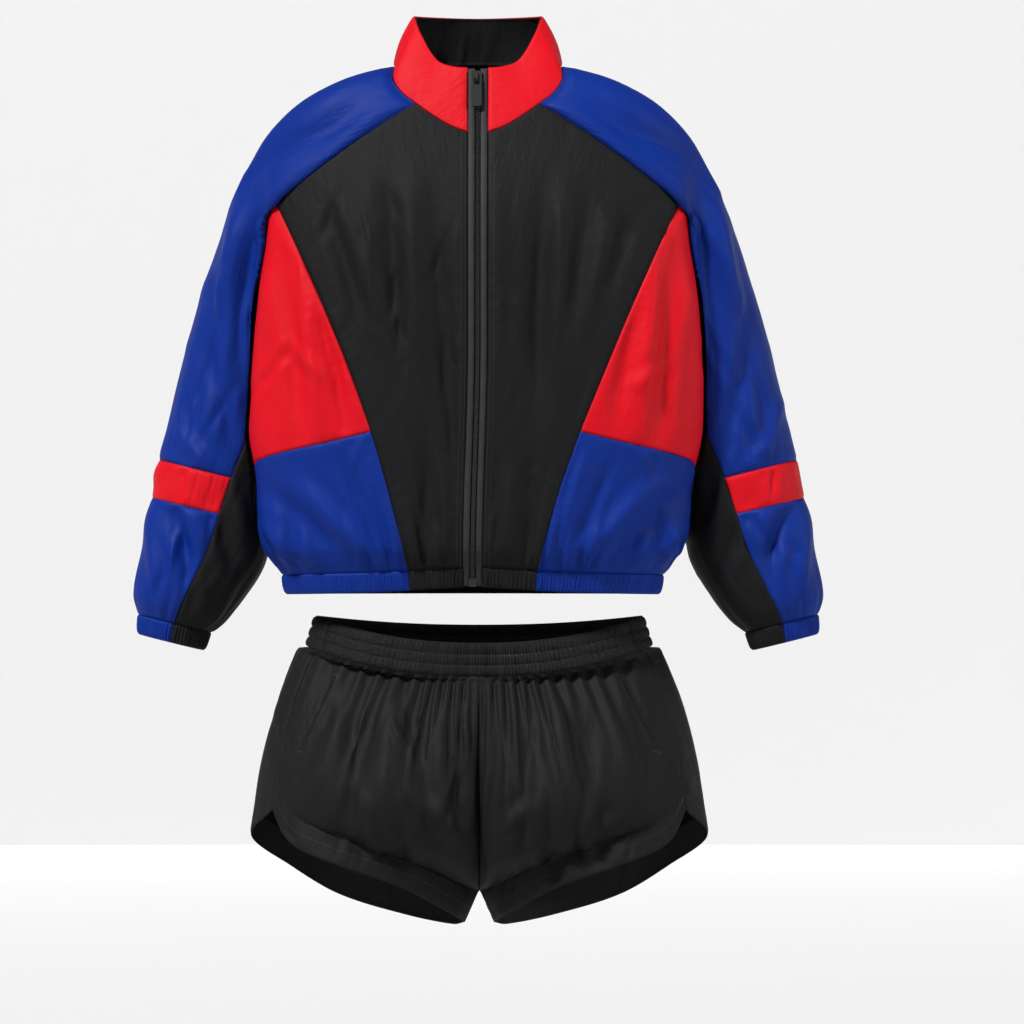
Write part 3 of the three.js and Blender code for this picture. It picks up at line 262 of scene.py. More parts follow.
class Trunk:
    """Form of the jacket's body, by angle round it and height."""

    def __init__(self) -> None:
        """Reads the table of sections."""
        self.half, self.front, self.wide, self.back = columns(BODY_SECTIONS, 5)

    @staticmethod
    def lean(z: np.ndarray) -> np.ndarray:
        """How far the body leans aside at a height."""
        return -BODY_LEAN * ease((LEAN_START_Z - z) / (LEAN_START_Z - HEM_SEAM_Z))

    def reach(self, angle: np.ndarray, z: np.ndarray) -> np.ndarray:
        """Plan radius of the body."""
        wide = self.wide(z)
        return radius_of(angle, self.half(z), wide - self.front(z), self.back(z) - wide)

    def point(self, angle: np.ndarray, z: np.ndarray, out: float | np.ndarray = 0.0) -> np.ndarray:
        """Points of the body.

        Args:
            angle: Angle round from the front.
            z: Height.
            out: Distance outwards in plan.

        Returns:
            Points in millimetres, in a last axis of three.
        """
        angle, z = np.broadcast_arrays(np.asarray(angle, float), np.asarray(z, float))
        reach = self.reach(angle, z) + out
        return np.stack([self.lean(z) + reach * np.sin(angle), self.wide(z) - reach * np.cos(angle), z], -1)

    def angle_at(self, x: np.ndarray, z: np.ndarray) -> np.ndarray:
        """Angle at which the front lies a distance x from the zip line."""
        x, z = np.broadcast_arrays(np.asarray(x, float), np.asarray(z, float))
        low, high = np.zeros_like(x), np.full_like(x, math.pi / 2)
        for _ in range(34):
            middle = (low + high) / 2
            less = self.reach(middle, z) * np.sin(middle) < np.abs(x)
            low, high = np.where(less, middle, low), np.where(less, high, middle)
        return low * np.where(x < 0, -1, 1)

    def normal(self, angle: np.ndarray, z: np.ndarray) -> np.ndarray:
        """Outward normals of the body."""
        across = self.point(angle + 0.01, z) - self.point(angle - 0.01, z)
        up = self.point(angle, z + 1) - self.point(angle, z - 1)
        return unit(np.cross(across, up))


TRUNK = Trunk()


def neck_pairs(angle: np.ndarray) -> np.ndarray:
    """Angle and height of the neck seam."""
    c = np.cos(angle)
    side = 0.75 * ease((0.7 - c) / 0.35)
    height = np.where(c > 0, NECK_FRONT_Z * np.abs(c) ** 2 * (1 - side), NECK_BACK_Z * np.abs(c) ** 1.5)
    return np.stack([angle, height], -1)


def hem_height(angle: np.ndarray) -> np.ndarray:
    """Height of the hem seam."""
    return HEM_SEAM_Z - HEM_DROP * ease(np.abs(np.sin(np.asarray(angle) / 2)) * 1.35)


def hem_pairs(start: float, end: float, count: int) -> np.ndarray:
    """Angle and height along the hem seam."""
    angle = start + (end - start) * steps(count)
    return np.stack([angle, hem_height(angle)], -1)


def mix_pairs(a: np.ndarray, b: np.ndarray, t: np.ndarray) -> np.ndarray:
    """Points between two points."""
    return np.asarray(a)[None, :] + (np.asarray(b) - np.asarray(a))[None, :] * np.asarray(t)[:, None]


def between(bottom: np.ndarray, top: np.ndarray, left: np.ndarray, right: np.ndarray) -> np.ndarray:
    """Fills a grid between four edges; left and right run upwards.

    Args:
        bottom: Lower edge.
        top: Upper edge.
        left: Edge at the first column.
        right: Edge at the last column.

    Returns:
        A grid of rows and columns.
    """
    u = steps(len(bottom) - 1)[None, :, None]
    v = steps(len(left) - 1)[:, None, None]
    ruled = bottom[None] * (1 - v) + top[None] * v + left[:, None] * (1 - u) + right[:, None] * u
    corners = bottom[0] * (1 - u) * (1 - v) + bottom[-1] * u * (1 - v) + top[0] * (1 - u) * v + top[-1] * u * v
    return ruled - corners


def grid_normals(grid: np.ndarray, flip: float) -> np.ndarray:
    """Normals of a grid of points."""
    across = np.gradient(grid, axis=1)
    up = np.gradient(grid, axis=0)
    return unit(np.cross(across, up)) * flip


class Seams:
    """The seams of one side of the jacket's body, as angle and height."""

    def __init__(self, side: int) -> None:
        """Works the seams out.

        Args:
            side: 1 for the right of the view, -1 for the left.
        """
        self.side = side
        place = self.place
        zip_angle = float(TRUNK.angle_at(side * ZIP_HALF, NECK_FRONT_Z))
        corner = float(TRUNK.angle_at(side * NECK_CORNER[0], NECK_CORNER[1]))
        self.neck = neck_pairs(zip_angle + (corner - zip_angle) * steps(NECK_COLS))
        self.corner = self.neck[-1]
        t = steps(RAGLAN_COLS)
        self.raglan = place(
            NECK_CORNER[0] + (RAGLAN_TIP[0] - NECK_CORNER[0]) * t,
            self.corner[1] + (RAGLAN_TIP[1] - self.corner[1]) * (0.8 * t + 0.2 * t**2),
        )
        self.raglan[0] = self.corner
        t = steps(RED_ROWS)
        self.front = place(
            RAGLAN_TIP[0] + (RED_CORNER[0] - RAGLAN_TIP[0]) * t - 16 * t * (1 - t),
            RAGLAN_TIP[1] + (RED_CORNER[1] - RAGLAN_TIP[1]) * t,
        )[::-1]
        t = steps(BLUE_ROWS)
        self.lower = place(
            RED_CORNER[0] + (BLUE_FOOT[0] - RED_CORNER[0]) * (1.25 * t - 0.25 * t**2),
            RED_CORNER[1] + (BLUE_FOOT[1] - RED_CORNER[1]) * t,
        )[::-1]
        self.lower[0, 1] = hem_height(self.lower[0, 0])
        tip = self.raglan[-1]
        self.armpit = np.array([side * SIDE, ARMPIT_Z])
        gore = np.array([side * GORE_FRONT, ARMPIT_Z + GORE_LIFT])
        self.underarm = np.vstack([mix_pairs(tip, gore, steps(TIP_COLS)),
                                   mix_pairs(gore, self.armpit, steps(GORE_COLS))[1:]])
        self.back_corner = neck_pairs(np.array([side * BACK_NECK]))[0]
        back_gore = np.array([side * GORE_BACK, ARMPIT_Z + GORE_LIFT])
        t = steps(RAGLAN_COLS + TIP_COLS)[1:]
        rise = np.stack([
            back_gore[0] + (self.back_corner[0] - back_gore[0]) * (0.55 * t + 0.45 * t**2),
            back_gore[1] + (self.back_corner[1] - back_gore[1]) * (1.15 * t - 0.15 * t**2),
        ], -1)
        self.back_raglan = np.vstack([mix_pairs(self.armpit, back_gore, steps(GORE_COLS)), rise])
        self.red_side = np.array([side * SIDE, RED_SIDE_Z])
        self.red_bottom = mix_pairs(self.front[0], self.red_side, steps(SIDE_COLS))

    def place(self, x: np.ndarray, z: np.ndarray) -> np.ndarray:
        """Angle and height of points given by their distance from the zip line."""
        return np.stack([TRUNK.angle_at(self.side * np.asarray(x), z), np.broadcast_to(z, np.shape(x))], -1)

    @property
    def word(self) -> str:
        """The side's name in the names of the pieces."""
        return "right" if self.side > 0 else "left"


FRONT_CREASES = tuple(Crease(*row) for row in (
    # x1, z1, x2, z2, width, depth
    # Black fronts: long soft folds that hang from the raglan seam
    (-48, -140, -40, -430, 15, -4.5), (-30, -240, -28, -500, 9, -2.5), (-72, -110, -62, -330, 13, 2.4),
    (-100, -120, -78, -360, 11, -2.6), (-140, -150, -96, -330, 12, 2.2), (-165, -160, -120, -290, 9, -2.4),
    (-60, -400, -52, -540, 10, -3.2), (-36, -430, -34, -545, 7, 2.2), (66, -130, 62, -420, 17, -5.0),
    (38, -120, 34, -380, 10, -2.2), (96, -120, 82, -370, 12, 2.8), (120, -130, 94, -330, 10, -2.8),
    (150, -140, 118, -290, 10, 2.2), (176, -150, 140, -260, 9, -2.2), (60, -420, 52, -545, 9, -3.4),
    (34, -430, 32, -545, 7, 2.0),
    # Red side panels
    (-212, -200, -196, -420, 12, -3.4), (-190, -230, -166, -430, 10, 2.6), (-172, -270, -140, -410, 9, -2.4),
    (-232, -260, -222, -430, 9, -2.4), (-214, -300, -160, -350, 7, 1.5), (214, -200, 202, -420, 12, -3.4),
    (194, -230, 172, -430, 10, 2.6), (172, -270, 146, -400, 9, -2.4), (234, -260, 226, -430, 9, -2.2),
    (216, -320, 160, -360, 7, 1.5),
    # Lower blue panels: folds that run down towards the hem corners
    (-232, -460, -150, -545, 10, -4.0), (-200, -450, -118, -540, 9, 3.0), (-150, -430, -98, -545, 8, -3.0),
    (-236, -500, -190, -550, 8, 3.0), (-120, -420, -86, -520, 7, 2.4), (-205, -490, -196, -556, 7, -3.0),
    (228, -460, 150, -545, 10, -4.0), (196, -450, 116, -540, 9, 3.0), (150, -430, 98, -545, 8, -3.0),
    (232, -500, 188, -550, 8, 3.0), (120, -420, 84, -520, 7, 2.4), (200, -490, 194, -556, 7, -3.0),
    # Sleeves: the fold under the shoulder tip and those of the elbow and wrist
    (-238, -104, -262, -330, 12, -5.0), (-256, -140, -286, -300, 9, 3.0), (-270, -220, -322, -420, 10, -3.2),
    (-300, -300, -268, -420, 9, -3.0), (-330, -400, -288, -450, 8, 2.6), (-346, -470, -306, -560, 9, -3.6),
    (-364, -480, -350, -590, 8, 2.8), (-330, -500, -312, -600, 7, -2.8), (-300, -470, -262, -560, 9, -3.2),
    (-276, -450, -250, -520, 8, 2.4), (238, -100, 262, -330, 12, -5.0), (256, -140, 288, -300, 9, 3.0),
    (272, -220, 324, -420, 10, -3.2), (300, -300, 270, -420, 9, -3.0), (332, -400, 290, -450, 8, 2.6),
    (348, -470, 308, -560, 9, -3.6), (364, -480, 352, -590, 8, 2.8), (332, -500, 314, -600, 7, -2.8),
    (300, -470, 264, -560, 9, -3.2), (276, -450, 252, -520, 8, 2.4),
    # Shorts: folds that fall from the gathers, and those that meet at the crotch
    (-118, -690, -150, -860, 12, -4.0), (-92, -680, -104, -840, 11, 3.0), (-62, -690, -52, -870, 12, -4.0),
    (-146, -700, -186, -820, 10, 3.0), (-32, -700, -16, -860, 9, -3.2), (-14, -850, -74, -790, 9, 2.6),
    (-130, -780, -110, -880, 8, 2.4), (-78, -800, -88, -900, 8, -2.4), (112, -690, 142, -850, 12, -4.0),
    (84, -680, 98, -850, 11, 3.0), (58, -690, 44, -860, 12, -4.0), (150, -700, 184, -830, 10, 3.0),
    (30, -700, 15, -850, 9, -3.0), (12, -856, 66, -800, 9, 2.6), (128, -790, 112, -880, 8, 2.4),
    (74, -800, 86, -900, 8, -2.6),
    # Slits of the shorts' pockets
    (-158, -668, -198, -752, 2.4, -2.6), (160, -668, 201, -752, 2.4, -2.6),
    # Shoulders
    (-110, -30, -200, -110, 11, -2.4), (-130, -22, -232, -90, 9, 2.0), (112, -30, 202, -112, 11, -2.4),
    (132, -22, 234, -92, 9, 2.0),
))


def scattered(seed: int, count: int, low: tuple[float, float], high: tuple[float, float],
              lean: float) -> tuple[Crease, ...]:
    """Small uneven creases over a region.

    Args:
        seed: Seed of the random draw.
        count: How many creases.
        low: Lowest x and z of the region.
        high: Highest x and z.
        lean: Mean sideways run of a crease for each unit down.

    Returns:
        The creases.
    """
    draw = np.random.default_rng(seed)
    made = []
    for _ in range(count):
        x = draw.uniform(low[0], high[0])
        z = draw.uniform(low[1], high[1])
        long = draw.uniform(25, 90)
        turn = lean + draw.normal(0, 0.28)
        depth = draw.uniform(0.5, 1.5) * draw.choice([-1, 1])
        made.append(Crease(x, z, x + turn * long, z - long, draw.uniform(3.0, 7.0), depth))
    return tuple(made)


FRONT_SMALL = (
    scattered(11, 70, (-220, -540), (220, -110), 0.0)
    + scattered(12, 36, (-350, -560), (-235, -90), -0.25)
    + scattered(13, 36, (235, -560), (350, -90), 0.25)
    + scattered(14, 60, (-230, -880), (230, -670), 0.0)
)
BACK_LARGE = tuple(
    Crease(c.x1 * BACK_CREASE_SPREAD[0], c.z1, c.x2 * BACK_CREASE_SPREAD[1], c.z2,
           c.width * BACK_CREASE_WIDTH, c.depth * BACK_CREASE_DEPTH) for c in FRONT_CREASES[::2]
)
BACK_SMALL = (
    scattered(21, 120, (-340, -560), (340, -60), 0.02)
    + scattered(22, 50, (-230, -900), (230, -670), 0.0)
)


def crease_height(points: np.ndarray, creases: tuple[Crease, ...]) -> np.ndarray:
    """Sum of creases at points of the front or back view."""
    x, z = points[..., 0], points[..., 2]
    total = np.zeros_like(x)
    for c in creases:
        run, fall = c.x2 - c.x1, c.z2 - c.z1
        size = run * run + fall * fall
        t = ((x - c.x1) * run + (z - c.z1) * fall) / size
        held = np.clip(t, 0, 1)
        away = np.hypot(x - c.x1 - held * run, z - c.z1 - held * fall) / c.width
        taper = ease(1.25 - np.abs(t - 0.5) * 2.1)
        total += c.depth * taper * (np.exp(-(away**2)) - 0.35 * np.exp(-((away - 1.9) ** 2)))
    return total


def pucker_height(grid: np.ndarray, puckers: tuple[Pucker, ...], seed: int) -> np.ndarray:
    """Waves that run in from the edges of a panel.

    Args:
        grid: The panel's points.
        puckers: Waves of each edge.
        seed: Shifts the waves, so that no two panels match.

    Returns:
        The height at each point.
    """
    total = np.zeros(grid.shape[:2])
    for pucker in puckers:
        turned = oriented(grid, pucker.edge)
        away = running(turned)
        s = running(turned[0])[None, :] + seed * 17.3
        wobble = 1.1 * np.sin(s / 41 + away / 60) + 0.7 * np.sin(s / 15.7 + 1.3) + 0.5 * np.sin(s / 8.3 + seed)
        uneven = 0.6 + 0.4 * np.sin(s / 29 + seed * 2.1)
        share = away / pucker.reach
        groove = np.exp(-((np.sin(np.pi * s / pucker.wavelength + wobble / 2) / 0.42) ** 2))
        wave = pucker.height * uneven * share * np.exp(1 - share) * (0.45 - 1.35 * groove)
        oriented(total, pucker.edge)[...] += wave
    return total


def edge_hold(grid: np.ndarray, reach: float) -> np.ndarray:
    """How free the cloth is: 0 at its sewn edges, 1 away from them."""
    free = np.ones(grid.shape[:2])
    rows, cols = running(grid), running(grid, 1)
    for away in (rows, rows[-1] - rows, cols, cols[:, -1:] - cols):
        free = free * ease(away / reach)
    return free


@dataclass
class Sheet:
    """One cut piece of cloth, ready to be made."""

    node: str
    cloth: Cloth
    grid: np.ndarray
    normals: np.ndarray
    puckers: tuple[Pucker, ...] = ()
    seed: int = 1
    creased: bool = True
    held: str = "stretched"
    thickness: float = SHELL
    seam_gap: float = 0.04
    points: np.ndarray = field(default=None, repr=False)

    @property
    def name(self) -> str:
        """Name of the piece that stands for the node."""
        return f"cloth_{self.node}"

    def draped(self) -> np.ndarray:
        """Adds the creases and puckers to the plain form.

        Returns:
            The grid of draped points, in millimetres.
        """
        grid, normals = self.grid, self.normals
        height = pucker_height(grid, self.puckers, self.seed)
        if self.creased:
            ahead = ease(-normals[..., 1] * 2.2 + 0.6)
            behind = 1 - ahead
            front = crease_height(grid, FRONT_CREASES) + crease_height(grid, FRONT_SMALL)
            back = crease_height(grid, BACK_LARGE) + crease_height(grid, BACK_SMALL)
            height = height + (front * ahead + back * behind) * edge_hold(grid, CREASE_HOLD) * CREASE_DEPTH
        height = height - SEAM_RECESS * (1 - edge_hold(grid, SEAM_REACH))
        moved = grid + normals * height[..., None]
        return self.set_back(moved)

    def set_back(self, grid: np.ndarray) -> np.ndarray:
        """Draws the outer points back from the seams."""
        result = grid.copy()
        for outer, inner in ((0, 1), (-1, -2)):
            result[outer] += unit(grid[inner] - grid[outer]) * self.seam_gap
            result[:, outer] += unit(grid[:, inner] - grid[:, outer]) * self.seam_gap
        return result

    def build(self) -> bpy.types.Object:
        """Makes the shell's object with its own UV map in metres of cloth.

        Returns:
            The object.
        """
        self.points = self.draped()
        rows, cols = self.points.shape[0] - 1, self.points.shape[1] - 1
        bm = bmesh.new()
        layer = bm.loops.layers.uv.new("cloth")
        bmesh.ops.create_grid(bm, x_segments=cols, y_segments=rows, size=0.5)
        u = running(self.grid, 1)
        u = (u - u[:, -1:] / 2) * MM
        v = running(self.grid) * MM
        place = {}
        for vert in bm.verts:
            i = round((vert.co.x + 0.5) * cols)
            j = round((vert.co.y + 0.5) * rows)
            place[vert] = (j, i)
        for face in bm.faces:
            for loop in face.loops:
                j, i = place[loop.vert]
                loop[layer].uv = (u[j, i], v[j, i])
        for vert, (j, i) in place.items():
            vert.co = Vector(self.points[j, i]) * MM
        middle = (rows // 2, cols // 2)
        bm.faces.ensure_lookup_table()

        def from_middle(face: bmesh.types.BMFace) -> int:
            """Counts the steps from the middle of the grid to a face."""
            j, i = place[face.verts[0]]
            return abs(j - middle[0]) + abs(i - middle[1])

        face = min(bm.faces, key=from_middle)
        j, i = place[face.verts[0]]
        face.normal_update()
        if face.normal.dot(Vector(self.normals[j, i])) < 0:
            bmesh.ops.reverse_faces(bm, faces=bm.faces[:])
        bm.normal_update()
        piece = new_object(self.name, bm)
        wall = piece.modifiers.new("wall", "SOLIDIFY")
        wall.thickness = self.thickness
        wall.offset = -1.0
        return piece

    def area(self) -> tuple[float, float, float]:
        """Cut width, length and area of the cloth, in metres.

        Returns:
            Width, length and area.
        """
        points = self.points * MM
        across = np.linalg.norm(np.diff(points, axis=1), axis=-1).sum(axis=1).max()
        along = np.linalg.norm(np.diff(points, axis=0), axis=-1).sum(axis=0).max()
        a = points[:-1, :-1] - points[1:, 1:]
        b = points[:-1, 1:] - points[1:, :-1]
        return float(across), float(along), float(np.linalg.norm(np.cross(a, b), axis=-1).sum() / 2)


def band(node: str, cloth: Cloth, grid: np.ndarray, normals: np.ndarray) -> Sheet:
    """Makes a gathered elastic band from its ribbed grid."""
    return Sheet(node, cloth, grid, normals, creased=False, held="gathered", thickness=BAND_SHELL)


RIB_COLS, WAIST_RIB_COLS, WAIST_ROWS = 6, 5, 24
HEM_RIB, CUFF_RIB, WAIST_RIB = 1.5, 1.3, 1.6
# Rows of a band, with those that run up under the panel above it
ALLOWANCE_ROWS = np.append(steps(12), (1.05, 1.12))
SEWN = (Pucker(Edge.LEFT, 13, 0.55, 7), Pucker(Edge.RIGHT, 13, 0.55, 7))
GATHERED_HEM = (Pucker(Edge.BOTTOM, 11, 1.6, 8), Pucker(Edge.BOTTOM, 19, 3.4, 18),
                Pucker(Edge.BOTTOM, 37, 4.0, 40), *SEWN, Pucker(Edge.TOP, 14, 0.5, 7))
PLAIN_SEAMS = (*SEWN, Pucker(Edge.TOP, 14, 0.6, 8), Pucker(Edge.BOTTOM, 14, 0.6, 8))


class Body:
    """Fronts, side panels, back and hem band of the jacket."""

    def __init__(self, right: Seams, left: Seams) -> None:
        """Keeps the seams of both sides."""
        self.sides = (right, left)

    @staticmethod
    def panel(name: str, cloth: Cloth, pairs: np.ndarray, puckers: tuple[Pucker, ...], seed: int) -> Sheet:
        """Makes a panel of the body from its grid of angle and height."""
        angle, z = pairs[..., 0], pairs[..., 1]
        return Sheet(name, cloth, TRUNK.point(angle, z), TRUNK.normal(angle, z), puckers, seed)

    def sheets(self) -> list[Sheet]:
        """Lists the body's panels."""
        made = []
        for seams in self.sides:
            word, side = seams.word, seams.side
            foot = seams.lower[0, 0]
            t = steps(RED_ROWS + BLUE_ROWS)
            bottom = float(hem_height(0.0))
            zip_line = seams.place(np.full_like(t, ZIP_HALF), bottom + (seams.neck[0, 1] - bottom) * t)
            front = between(
                hem_pairs(zip_line[0, 0], foot, NECK_COLS + RAGLAN_COLS),
                np.vstack([seams.neck, seams.raglan[1:]]), zip_line, np.vstack([seams.lower, seams.front[1:]]),
            )
            made.append(self.panel(f"front_{word}", Cloth.BLACK, front, GATHERED_HEM, 3 + side))
            red_right = mix_pairs(seams.red_side, seams.armpit, steps(RED_ROWS))
            red = between(seams.red_bottom, seams.underarm, seams.front, red_right)
            made.append(self.panel(f"side_red_{word}", Cloth.RED, red, PLAIN_SEAMS, 7 + side))
            side_bottom = np.array([side * SIDE, float(hem_height(SIDE))])
            blue = between(hem_pairs(foot, side * SIDE, SIDE_COLS), seams.red_bottom, seams.lower,
                           mix_pairs(side_bottom, seams.red_side, steps(BLUE_ROWS)))
            made.append(self.panel(f"side_blue_{word}", Cloth.BLUE, blue, GATHERED_HEM, 11 + side))
        made.append(self.back())
        made.extend(self.bands())
        return made

    def back(self) -> Sheet:
        """Makes the back panel."""
        seams = self.sides[0]

        def turned(pairs: np.ndarray) -> np.ndarray:
            """Mirrors pairs to the other side."""
            return np.stack([2 * math.pi - pairs[:, 0], pairs[:, 1]], -1)

        corner = seams.back_corner[0]
        neck = neck_pairs(corner + 2 * (math.pi - corner) * steps(BACK_NECK_COLS))
        top = np.vstack([seams.back_raglan, neck[1:], turned(seams.back_raglan[:-1][::-1])])
        low = np.array([SIDE, float(hem_height(SIDE))])
        line = np.vstack([mix_pairs(low, seams.red_side, steps(BLUE_ROWS)),
                          mix_pairs(seams.red_side, seams.armpit, steps(RED_ROWS))[1:]])
        pairs = between(hem_pairs(SIDE, 2 * math.pi - SIDE, len(top) - 1), top, line, turned(line))
        return self.panel("back", Cloth.BLACK, pairs, GATHERED_HEM, 17)

    def bands(self) -> list[Sheet]:
        """Makes the pieces of the hem band, with their ribs."""
        right, left = self.sides
        zip_angle = float(TRUNK.angle_at(ZIP_HALF, HEM_SEAM_Z))
        feet = right.lower[0, 0], left.lower[0, 0]
        table = (
            ("hem_front_right", Cloth.BLACK, zip_angle, feet[0], 14),
            ("hem_front_left", Cloth.BLACK, feet[1], -zip_angle, 14),
            ("hem_side_right", Cloth.BLUE, feet[0], SIDE, 50),
            ("hem_side_left", Cloth.BLUE, -SIDE, feet[1], 50),
            ("hem_back", Cloth.BLACK, SIDE, 2 * math.pi - SIDE, 96),
        )
        made = []
        for name, cloth, start, end, ribs in table:
            v = ALLOWANCE_ROWS[:, None]
            t = steps(ribs * RIB_COLS)[None, :]
            angle = start + (end - start) * t + 0 * v
            z = hem_height(angle) - HEM_BAND * (1 - v)
            out = rib_height(t * ribs, v, HEM_RIB)
            made.append(band(name, cloth, TRUNK.point(angle, z, out), plan_way(angle)))
        return made


def rib_height(ribs: np.ndarray, v: np.ndarray, height: float, channels: int = 1) -> np.ndarray:
    """Ribs of a gathered elastic band, rounder between its rows of stitching.

    Args:
        ribs: Place round the band, counted in ribs.
        v: Place across it, 0 to 1.
        height: Height of a rib.
        channels: How many elastic channels the band has.

    Returns:
        The height outwards.
    """
    uneven = 1 + 0.35 * np.sin(ribs * 1.7) + 0.25 * np.sin(ribs * 0.61 + 1)
    wave = 0.5 + 0.5 * np.sin(2 * np.pi * ribs + 0.8 * np.sin(ribs * 0.9) + 0.5 * np.sin(v * 5 + ribs))
    crown = np.abs(np.sin(np.pi * np.clip(v, 0, 1) * channels)) ** 0.5
    under = 1.6 * ease((v - 0.99) / 0.06) if channels == 1 else 0.0
    # The ribs die out at the ends, where two bands are sewn together
    free = ease(np.minimum(ribs, ribs.max() - ribs) / 0.8)
    ribbed = height * (uneven * wave * free + 0.4 * (1 - free)) * (0.35 + 0.65 * crown)
    return ribbed + 1.1 * crown - 0.4 - under


class Sleeve:
    """One raglan sleeve: its form, its panels and its cuff."""

    def __init__(self, seams: Seams) -> None:
        """Reads the table of sections."""
        self.seams = seams
        self.side = seams.side
        self.x, self.tilt, self.half, self.deep, self.y, self.gore = columns(SLEEVE_SECTIONS, 7)
        self.main = SIDE_NECK_COLS + RAGLAN_COLS + TIP_COLS
        self.cols = 2 * (self.main + GORE_COLS)

    def angles(self, z: float) -> np.ndarray:
        """Angle round the sleeve of every column, from its outer line through the front."""
        i = np.arange(self.cols + 1)
        near = np.where(i > self.cols / 2, self.cols - i, i)
        edge = math.radians(float(self.gore(z)))
        turned = np.where(near <= self.main, edge * near / self.main,
                          edge + (math.pi - edge) * (near - self.main) / GORE_COLS)
        return np.where(i > self.cols / 2, 2 * math.pi - turned, turned)

    def section(self, z: np.ndarray, angle: np.ndarray, out: float | np.ndarray = 0.0) -> np.ndarray:
        """Points of a section of the sleeve.

        Args:
            z: Height of the section's outer point.
            angle: Angle round the sleeve.
            out: Distance outwards.

        Returns:
            The points.
        """
        tilt = np.radians(self.tilt(z))
        half = self.half(z)
        total = ((np.abs(np.cos(angle)) / half) ** SECTION_POWER
                 + (np.abs(np.sin(angle)) / self.deep(z)) ** SECTION_POWER)
        radius = total ** (-1 / SECTION_POWER) + out
        across = radius * np.cos(angle) - half
        x = self.side * (self.x(z) + across * np.cos(tilt))
        y = self.y(z) - radius * np.sin(angle)
        height = z + across * np.sin(tilt)
        return np.stack(np.broadcast_arrays(x, y, height), -1)

    @staticmethod
    def clear(points: np.ndarray, clearance: np.ndarray | float) -> np.ndarray:
        """Keeps points outside the body of the jacket."""
        z = points[..., 2]
        lean, wide = TRUNK.lean(z), TRUNK.wide(z)
        dx, dy = points[..., 0] - lean, points[..., 1] - wide
        reach = TRUNK.reach(np.arctan2(dx, -dy), z) + clearance
        away = np.hypot(dx, dy)
        grow = np.where(away < reach, reach / np.maximum(away, 1e-6), 1.0)
        return np.stack([lean + dx * grow, wide + dy * grow, z], -1)

    def loop(self) -> np.ndarray:
        """Angle and height of the sleeve's seam on the body, all round."""
        s, quarter = self.seams, self.side * math.pi / 2
        neck_front = neck_pairs(quarter + (s.corner[0] - quarter) * steps(SIDE_NECK_COLS))
        neck_back = neck_pairs(s.back_corner[0] + (quarter - s.back_corner[0]) * steps(SIDE_NECK_COLS))
        return np.vstack([neck_front, s.raglan[1:], s.underarm[1:], s.back_raglan[1:], neck_back[1:]])

    def grid(self) -> np.ndarray:
        """Makes the whole sleeve's grid, from its seam to the cuff."""
        loop = self.loop()
        start = TRUNK.point(loop[:, 0], loop[:, 1])
        end = self.clear(self.section(SLEEVE_TOP_Z, self.angles(SLEEVE_TOP_Z)), SLEEVE_CLEAR)
        tilt = math.radians(float(self.tilt(SLEEVE_TOP_Z)))
        down = np.array([self.side * math.sin(tilt), 0, -math.cos(tilt)])
        normal = TRUNK.normal(loop[:, 0], loop[:, 1])
        way = end - start
        flat = unit(way - normal * (way * normal).sum(-1, keepdims=True))
        near = np.minimum(np.arange(self.cols + 1), self.cols - np.arange(self.cols + 1))
        opened = ease((near - SIDE_NECK_COLS - RAGLAN_COLS / 2) / (RAGLAN_COLS / 2 + TIP_COLS))
        leave = unit(flat + normal * (LEAVE_LOW + LEAVE_MORE * opened)[:, None])
        span = np.linalg.norm(way, axis=-1, keepdims=True)
        second, third = start + leave * span * START_PULL, end - down * span * END_PULL
        rows = []
        for t in steps(SHOULDER_ROWS)[:-1]:
            point = (start * (1 - t) ** 3 + 3 * second * t * (1 - t) ** 2
                     + 3 * third * t**2 * (1 - t) + end * t**3)
            if t > 0:
                held = self.clear(point, SLEEVE_CLEAR * float(ease(np.array(t * 2.5))))
                keep = (near < SIDE_NECK_COLS + RAGLAN_COLS // 3)[:, None]
                point = np.where(keep, point, held)
            rows.append(point)
        for z in self.heights():
            rows.append(self.clear(self.section(z, self.angles(z)), SLEEVE_CLEAR))
        grid = np.array(rows)
        grid[:, -1] = grid[:, 0]
        return grid

    @staticmethod
    def heights() -> np.ndarray:
        """Heights of the rows below the shoulder."""
        upper = np.linspace(SLEEVE_TOP_Z, BAND_TOP_Z, UPPER_ROWS + 1)
        middle = np.linspace(BAND_TOP_Z, BAND_BOTTOM_Z, BAND_ROWS + 1)[1:]
        lower = np.linspace(BAND_BOTTOM_Z, SLEEVE_END_Z, LOWER_ROWS + 1)[1:]
        return np.concatenate([upper, middle, lower])

